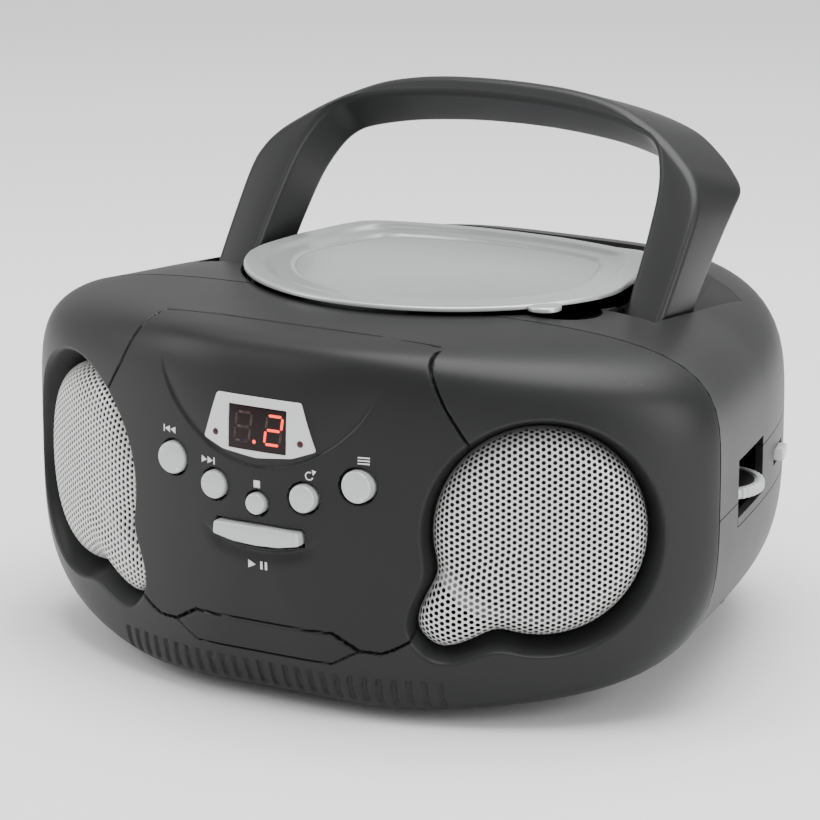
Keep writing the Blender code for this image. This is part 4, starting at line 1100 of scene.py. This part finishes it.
def pictograms():
    """Plain transport symbols printed beside the keys."""
    shapes = []

    def triangle(x, z, w, h):
        return [(x, z - h / 2), (x + w, z), (x, z + h / 2)]

    def bar(x, z, w, h):
        return [(x, z - h / 2), (x + w, z - h / 2), (x + w, z + h / 2), (x, z + h / 2)]
    shapes += [bar(-36.3, 81.5, 0.5, 2.2), triangle(-33.6, 81.5, -2.1, 2.2),
               triangle(-31.3, 81.5, -2.1, 2.2)]
    shapes += [triangle(-20.6, 74.9, 2.1, 2.2), triangle(-18.3, 74.9, 2.1, 2.2), bar(-16.0, 74.9, 0.5, 2.2)]
    shapes += [bar(-1.1, 70.4, 2.2, 2.2)]
    ring = []
    for i in range(25):
        a = math.radians(60 + 280 * i / 24)
        ring.append((17.2 + 1.35 * math.cos(a), 74.9 + 1.35 * math.sin(a)))
    for i in reversed(range(25)):
        a = math.radians(60 + 280 * i / 24)
        ring.append((17.2 + 0.95 * math.cos(a), 74.9 + 0.95 * math.sin(a)))
    shapes += [ring, [(18.0, 76.9), (18.4, 75.1), (19.4, 76.5)]]
    shapes += [bar(32.0, 81.0 + 0.9 * i, 3.6, 0.42) for i in (-1, 0, 1)]
    shapes += [triangle(-3.4, 45.6, 2.6, 2.6), bar(0.8, 45.6, 0.8, 2.5), bar(2.4, 45.6, 0.8, 2.5)]
    flat_shapes("printed_symbols", shapes, PRINT, 0.03)


def wheels():
    for name, body in (("volume_wheel", "volume"), ("tuning_wheel", "tuning")):
        low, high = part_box(name)
        x, y = (low.x + high.x) * 500.0, (low.y + high.y) * 500.0
        base, top = high.z * 1000.0 - WHEEL_RIM, high.z * 1000.0
        radius = (high.x - low.x) * 500.0
        teeth = 44

        def ripple(i, a):
            return -0.55 * (0.5 - 0.5 * math.cos(a * teeth)) ** 2 if 3 <= i <= 9 else 0.0
        thick = top - base
        profile = [(0.0, thick - 0.6), (radius - 2.6, thick - 0.6), (radius - 2.4, thick - 0.1),
                   (radius - 0.9, thick),
                   (radius - 0.35, thick - 0.25), (radius, thick - 0.9), (radius, thick * 0.5),
                   (radius, 0.9),
                   (radius - 0.35, 0.25), (radius - 0.9, 0.0), (3.0, 0.0), (3.0, -9.5), (0.0, -9.5)]
        points, faces = lathe(profile, (x, y, base), (0.0, 0.0, 1.0), teeth * 10, ripple)
        make_mesh(name + "_rim", points, faces, KEY, body, (name,), 35.0, weld)
        points, faces = lathe(rounded_profile(((0.0, 0.0), (radius - 3.0, 0.0), (radius - 3.0, -0.8),
                                               (0.0, -0.8)), 0.2, 3),
                              (x, y, top - 0.25), (0.0, 0.0, 1.0), 96)
        make_mesh(name + "_disc", points, faces, PANEL, body, (), 35.0, weld)


# ---------------------------------------------------------------- lid

def lid_half():
    half = []
    for i in range(49):
        a = math.radians(-90.0 + 72.0 * i / 48)
        half.append((LID_R * math.cos(a), LID_R * math.sin(a)))
    rest = spline([(half[-1][0], half[-1][1], 0), (63.9, -12.0, 0), (63.0, -3.0, 0), (61.4, 6.0, 0),
                   (59.6, 12.0, 0),
                   (57.8, 18.0, 0), (55.6, 25.0, 0), (52.4, 31.4, 0), (48.0, 34.8, 0), (41.3, 37.0, 0),
                   (28.0, 40.0, 0), (14.0, 41.9, 0), (0.0, 42.3, 0)], 6)
    return half + [tuple(q)[:2] for q in rest[1:]]


def lid_top(share, y):
    """Height over LID_Z at this share of the outline: a rim, a ledge inside it and a shallow dish."""
    back = smoothstep(-20.0, 32.0, y)
    rim = 1.7 + 1.1 * back
    ledge = 0.75 + 0.4 * back
    dish = -0.1
    height = ledge + (rim - ledge) * smoothstep(0.85, 0.915, share)
    return dish + (height - dish) * smoothstep(0.745, 0.79, share)


def lid():
    half = lid_half()
    outline = np.array(half + [(-x, y) for x, y in reversed(half) if x > 0.01])
    scales = [1.0, 0.9995, 0.997, 0.992, 0.985, 0.975] + list(np.linspace(0.965, 0.6,
                                                                          56)) + list(np.linspace(0.58, 0.02,
                                                                                                  30))
    drops = {0: -0.9, 1: -0.45, 2: -0.18, 3: -0.05}
    points = [np.column_stack([outline[:, 0] * 0.985, outline[:, 1] * 0.985 + LID_Y,
                               np.full(len(outline), LID_Z)]),
              np.column_stack([outline[:, 0], outline[:, 1] + LID_Y, np.full(len(outline), LID_Z + 0.35)])]
    for i, s in enumerate(scales):
        x, y = outline[:, 0] * s, outline[:, 1] * s
        z = lid_top(s, y) + drops.get(i, 0.0)
        z = z - tongue(x, y)
        points.append(np.column_stack([x, y + LID_Y, LID_Z + z]))
    count = len(outline)
    faces = ring_faces(len(points), count, caps=(True, True))
    make_mesh("lid_cover", np.concatenate(points), faces, SILVER, "lid", (), 40.0, outward)
    flange_arc = [math.radians(a) for a in np.linspace(59.0, 30.0, 16)]
    half_flange = [(34.0, HINGE_Y)] + [(LID_R * math.cos(a),
                                        LID_Y + LID_R * math.sin(a)) for a in flange_arc]
    flange = prism("f", half_flange + [(-x, y) for x, y in reversed(half_flange)], LEAF_REAR_Z - 5.0,
                   LID_Z - LEAF_SET, "Z")
    fall = 30.0 * (LID_Z - LEAF_SET - LEAF_REAR_Z) / (HINGE_Y - LEAF_BEND_Y)
    top, low, far = LID_Z - LEAF_SET, LID_Z - LEAF_SET - LEAF_THICK, LEAF_BEND_Y + 30.0
    above = ((LEAF_BEND_Y, top), (far, top - fall), (far, top + 6.0), (LEAF_BEND_Y, top + 6.0))
    below = ((20.0, low), (LEAF_BEND_Y, low), (far, low - fall), (far, low - 20.0), (20.0, low - 20.0))
    steps = [("DIFFERENCE", prism("c", above, -90.0, 90.0, "X")),
             ("DIFFERENCE", prism("c", below, -90.0, 90.0, "X")),
             ("UNION", block("c", (-40.0, 44.0, LID_Z - 1.4), (40.0, 48.0, LID_Z + 0.4))),
             ("UNION", block("c", (-34.0, HINGE_Y - 2.2, HINGE_Z), (34.0, HINGE_Y, LEAF_REAR_Z - 0.3))),
             ("UNION", prism("c", ellipse(HINGE_Y, HINGE_Z, 2.7, 2.7, 40), -34.0, 34.0, "X")),
             ("DIFFERENCE", prism("c", ellipse(HINGE_Y, HINGE_Z, 1.55, 1.55, 32), -40.0, 40.0, "X"))]
    adopt("lid_hinge_leaf", carve(flange, steps), SILVER, "lid", ("cd_lid",))
    finger_tab()


def tongue(x, y):
    """A shallow groove in the shape of a U, open towards the middle of the lid."""
    path = [(-2.3, -44.1), (-1.2, -47.2), (0.3, -49.5), (2.0, -50.6), (5.8, -50.9), (9.0, -50.3),
            (10.1, -48.6),
            (9.7, -44.0), (8.8, -36.0), (7.8, -26.0)]
    d = distance_to_line(x, y, path)
    return 0.3 * (1.0 - smoothstep(0.15, 0.6, d)) * smoothstep(-26.0, -40.0, y)


def finger_tab():
    x, y = TAB_REACH * math.cos(TAB_ANGLE), LID_Y + TAB_REACH * math.sin(TAB_ANGLE)
    rings = ((1.0, 0.0), (1.0, 0.9), (0.97, 1.25), (0.9, 1.45), (0.5, 1.55), (0.05, 1.6))
    points = []
    for scale, height in rings:
        for i in range(64):
            t = TAU * i / 64
            points.append((x + TAB_R * scale * math.cos(t), y + TAB_R * scale * math.sin(t), LID_Z + height))
    make_mesh("lid_tab", points, ring_faces(len(rings), 64), SILVER, "lid", (), 40.0,
              outward)


# ---------------------------------------------------------------- handle

HANDLE_FRONT = ((80.4, 8.0), (80.9, 29.0), (80.6, 44.0), (78.6, 51.5), (74.4, 57.6), (68.4, 63.0),
                (61.4, 68.4),
                (54.0, 73.0), (43.5, 78.2), (33.0, 81.1), (22.0, 82.7), (10.0, 83.4), (0.0, 83.6))
HANDLE_REAR = ((80.4, 8.0), (80.5, 29.0), (82.0, 47.0), (83.2, 56.5), (83.7, 63.4), (79.0, 69.6),
               (72.0, 75.8),
               (63.5, 81.4), (52.0, 85.4), (38.0, 88.4), (24.0, 90.2), (11.0, 91.2), (0.0, 91.4))
HANDLE_INNER = ((67.0, 12.0), (66.6, 26.0), (66.0, 38.0), (64.6, 52.0), (61.6, 62.0), (58.0, 67.6),
                (52.5, 70.8),
                (40.0, 74.0), (27.0, 75.8), (13.0, 76.9), (0.0, 77.2))


def handle():
    per = 10
    front = [tuple(q)[:2] for q in spline([(x, a, 0) for x, a in HANDLE_FRONT], per)]
    rear = [tuple(q)[:2] for q in spline([(x, a, 0) for x, a in HANDLE_REAR], per)]
    inner_fine = [tuple(q)[:2] for q in spline([(x, a, 0) for x, a in HANDLE_INNER], 12)]
    # The inner line is matched to the outer ones by direction from the middle of the opening.
    hub = np.array([0.0, 30.0])
    angle_in = np.unwrap([math.atan2(q[1] - hub[1], q[0] - hub[0]) for q in inner_fine])
    arr = np.array(inner_fine)
    matched = []
    for f, r in zip(front, rear):
        m = ((f[0] + r[0]) / 2, (f[1] + r[1]) / 2)
        t = math.atan2(m[1] - hub[1], m[0] - hub[0])
        t = min(max(t, angle_in[0]), angle_in[-1])
        matched.append((np.interp(t, angle_in, arr[:, 0]), np.interp(t, angle_in, arr[:, 1])))
    stations = []
    for i in range(12):
        a = -HANDLE_HALF_DEPTH + 18.0 * i / 12
        stations.append(((80.4, a), (80.4, a), (67.0, a)))
    for f, r, q in zip(front, rear, matched):
        stations.append((f, r, q))
    full = stations + [tuple((-p[0], p[1]) for p in s) for s in reversed(stations[:-1])]
    radius = 2.2
    ring = []
    for q in range(4):
        for k in range(6):
            t = math.pi / 2 * k / 5
            c, s = math.cos(t), math.sin(t)
            if q == 0:
                ring.append((radius * (1 - s), -HANDLE_HALF_DEPTH + radius * (1 - c), "o"))
            elif q == 1:
                ring.append((radius * (1 - c), HANDLE_HALF_DEPTH - radius * (1 - s), "o"))
            elif q == 2:
                ring.append((radius * (1 - s), HANDLE_HALF_DEPTH - radius * (1 - c), "i"))
            else:
                ring.append((radius * (1 - c), -HANDLE_HALF_DEPTH + radius * (1 - s), "i"))
    cl, sl = math.cos(HANDLE_LEAN), math.sin(HANDLE_LEAN)
    points = []
    for f, r, q in full:
        a_mid = f[1]
        squeeze = math.sqrt(max(1.0 - (a_mid / HANDLE_HALF_DEPTH) ** 2, 0.0)) if a_mid < 0.0 else 1.0
        for inset, b, edge in ring:
            b2 = b * squeeze
            mix = (b + HANDLE_HALF_DEPTH) / (2 * HANDLE_HALF_DEPTH)
            o = Vector((f[0] + (r[0] - f[0]) * mix, f[1] + (r[1] - f[1]) * mix))
            i_point = Vector(q)
            across = i_point - o
            length = max(across.length, 0.01)
            step = min(inset, length * 0.45)
            p = o + across * (step / length) if edge == "o" else i_point - across * (step / length)
            points.append((p.x, PIVOT_Y + p.y * sl + b2 * cl, PIVOT_Z + p.y * cl - b2 * sl))
    make_mesh("carry_handle", points, ring_faces(len(full), len(ring)), GRIP, "handle",
              ("handle",),
              38.0, outward)


# ---------------------------------------------------------------- small parts

def small_parts():
    for name in ("foot_front_left", "foot_front_right", "foot_rear_left", "foot_rear_right"):
        low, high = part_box(name)
        x, y = (low.x + high.x) * 500.0, (low.y + high.y) * 500.0
        profile = rounded_profile(((0.0, 0.0), (5.4, 0.0), (6.0, 0.7), (6.0, 6.4), (0.0, 6.4)), 0.5, 4)
        points, faces = lathe(profile, (x, y, 0.0), (0.0, 0.0, 1.0), 48)
        make_mesh(name + "_pad", points, faces, RUBBER, "casing", (name,), 40.0, weld)
    low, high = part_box("aerial_tube")
    y, z = (low.y + high.y) * 500.0, (low.z + high.z) * 500.0
    root = AERIAL_X
    shapes = (("aerial_outer_rod", "aerial_outer", ((0.0, 6.0), (3.0, 6.0), (3.0, 80.0), (2.0, 80.0),
                                                    (2.0, 9.0), (0.0, 9.0)), "aerial_tube"),
              ("aerial_inner_rod", "aerial_inner", ((0.0, 10.0), (1.7, 10.0), (1.7, 81.5), (1.1, 81.5),
                                                    (1.1, 12.0), (0.0, 12.0)), "aerial_middle"),
              ("aerial_end_rod", "aerial_end", ((0.0, 13.0), (0.8, 13.0), (0.8, 82.2), (2.6, 82.2),
                                                (2.6, 85.4), (0.0, 85.8)), "aerial_tip"))
    for name, body, profile, cad in shapes:
        points, faces = lathe(rounded_profile(profile, 0.3, 4), (root, y, z), (1.0, 0.0, 0.0), 40)
        make_mesh(name, points, faces, CHROME, body, (cad,), 40.0, weld)
    blade = block("b", (root - 1.4, y - 1.3, z - 1.7), (root + 7.0, y + 1.3, z + 1.3))
    mesh = carve(blade, [])
    mesh.shade_smooth()
    mesh.set_sharp_from_angle(angle=0.5)
    mesh.materials.append(CHROME)
    piece = bpy.data.objects.new("aerial_blade", mesh)
    bpy.context.scene.collection.objects.link(piece)
    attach(piece, "aerial_outer")


def paint_cad():
    """Procedural finishes for the CAD nodes that show as they are."""
    chosen = {"black_plastic": SHELL, "silver_plastic": KEY, "bezel_silver": BEZEL, "grille_metal": MESH,
              "steel": STEEL,
              "chrome": CHROME, "dark_plastic": INNER, "circuit_board": BOARD, "red_window": LAMP,
              "rubber": RUBBER,
              "paper_cone": CONE_WITH_PAINTED_SHADE, "iron": IRON}
    slots = {s["node"]: s["material_slot"] for s in frame["record"]["subparts"]}
    for name, obj in frame["nodes"].items():
        obj.data.materials.clear()
        obj.data.materials.append(chosen[slots[name]])


# ---------------------------------------------------------------- studio

def soft_light(name, place, aim, size, power, tint=(1.0, 1.0, 1.0)):
    data = bpy.data.lights.new(name, "AREA")
    data.shape = "RECTANGLE"
    data.size, data.size_y = size
    data.energy = power
    data.color = tint
    lamp = bpy.data.objects.new(name, data)
    lamp.location = place
    lamp.rotation_mode = "QUATERNION"
    lamp.rotation_quaternion = (Vector(aim) - Vector(place)).to_track_quat("-Z", "Y")
    bpy.context.scene.collection.objects.link(lamp)


def studio():
    mesh = bpy.data.meshes.new("floor")
    mesh.from_pydata([(-30, -30, 0), (30, -30, 0), (30, 30, 0), (-30, 30, 0)], [], [(0, 1, 2, 3)])
    floor_mat = bpy.data.materials.new("pale_floor")
    floor_mat.use_nodes = True
    floor_mat.node_tree.nodes["Principled BSDF"].inputs["Base Color"].default_value = (0.9, 0.9, 0.9, 1.0)
    floor_mat.node_tree.nodes["Principled BSDF"].inputs["Roughness"].default_value = 0.85
    mesh.materials.append(floor_mat)
    floor = bpy.data.objects.new("floor", mesh)
    bpy.context.scene.collection.objects.link(floor)
    world = bpy.data.worlds.new("studio")
    world.use_nodes = True
    world.node_tree.nodes["Background"].inputs["Color"].default_value = (1.0, 1.0, 1.0, 1.0)
    world.node_tree.nodes["Background"].inputs["Strength"].default_value = 0.8
    bpy.context.scene.world = world
    soft_light("top_box", (0.1, 0.1, 1.2), (0.0, 0.0, 0.1), (1.2, 1.0), 24.0)
    soft_light("left_box", (-1.1, -0.7, 0.7), (0.0, -0.05, 0.08), (0.5, 0.9), 8.0)
    soft_light("right_box", (1.3, -0.2, 0.5), (0.0, 0.0, 0.08), (0.5, 0.9), 8.0)
    camera_data = bpy.data.cameras.new("camera")
    camera_data.lens = 175.6
    camera_data.sensor_width = 36.0
    camera_data.clip_start = 0.05
    camera_data.clip_end = 100.0
    camera = bpy.data.objects.new("camera", camera_data)
    azimuth, elevation = math.radians(30.507), math.radians(14.755)
    back = Vector((math.sin(azimuth) * math.cos(elevation), -math.cos(azimuth) * math.cos(elevation),
                   math.sin(elevation)))
    camera.location = (0.6121, -1.05385, 0.39035)
    camera.rotation_mode = "QUATERNION"
    camera.rotation_quaternion = (-back).to_track_quat("-Z", "Y")
    bpy.context.scene.collection.objects.link(camera)
    bpy.context.scene.camera = camera


studio()
paint_cad()
front_casing()
grille(-1.0, "left")
grille(1.0, "right")
rear_casing()
buttons()
display()
pictograms()
wheels()
lid()
handle()
small_parts()

bpy.context.view_layer.update()
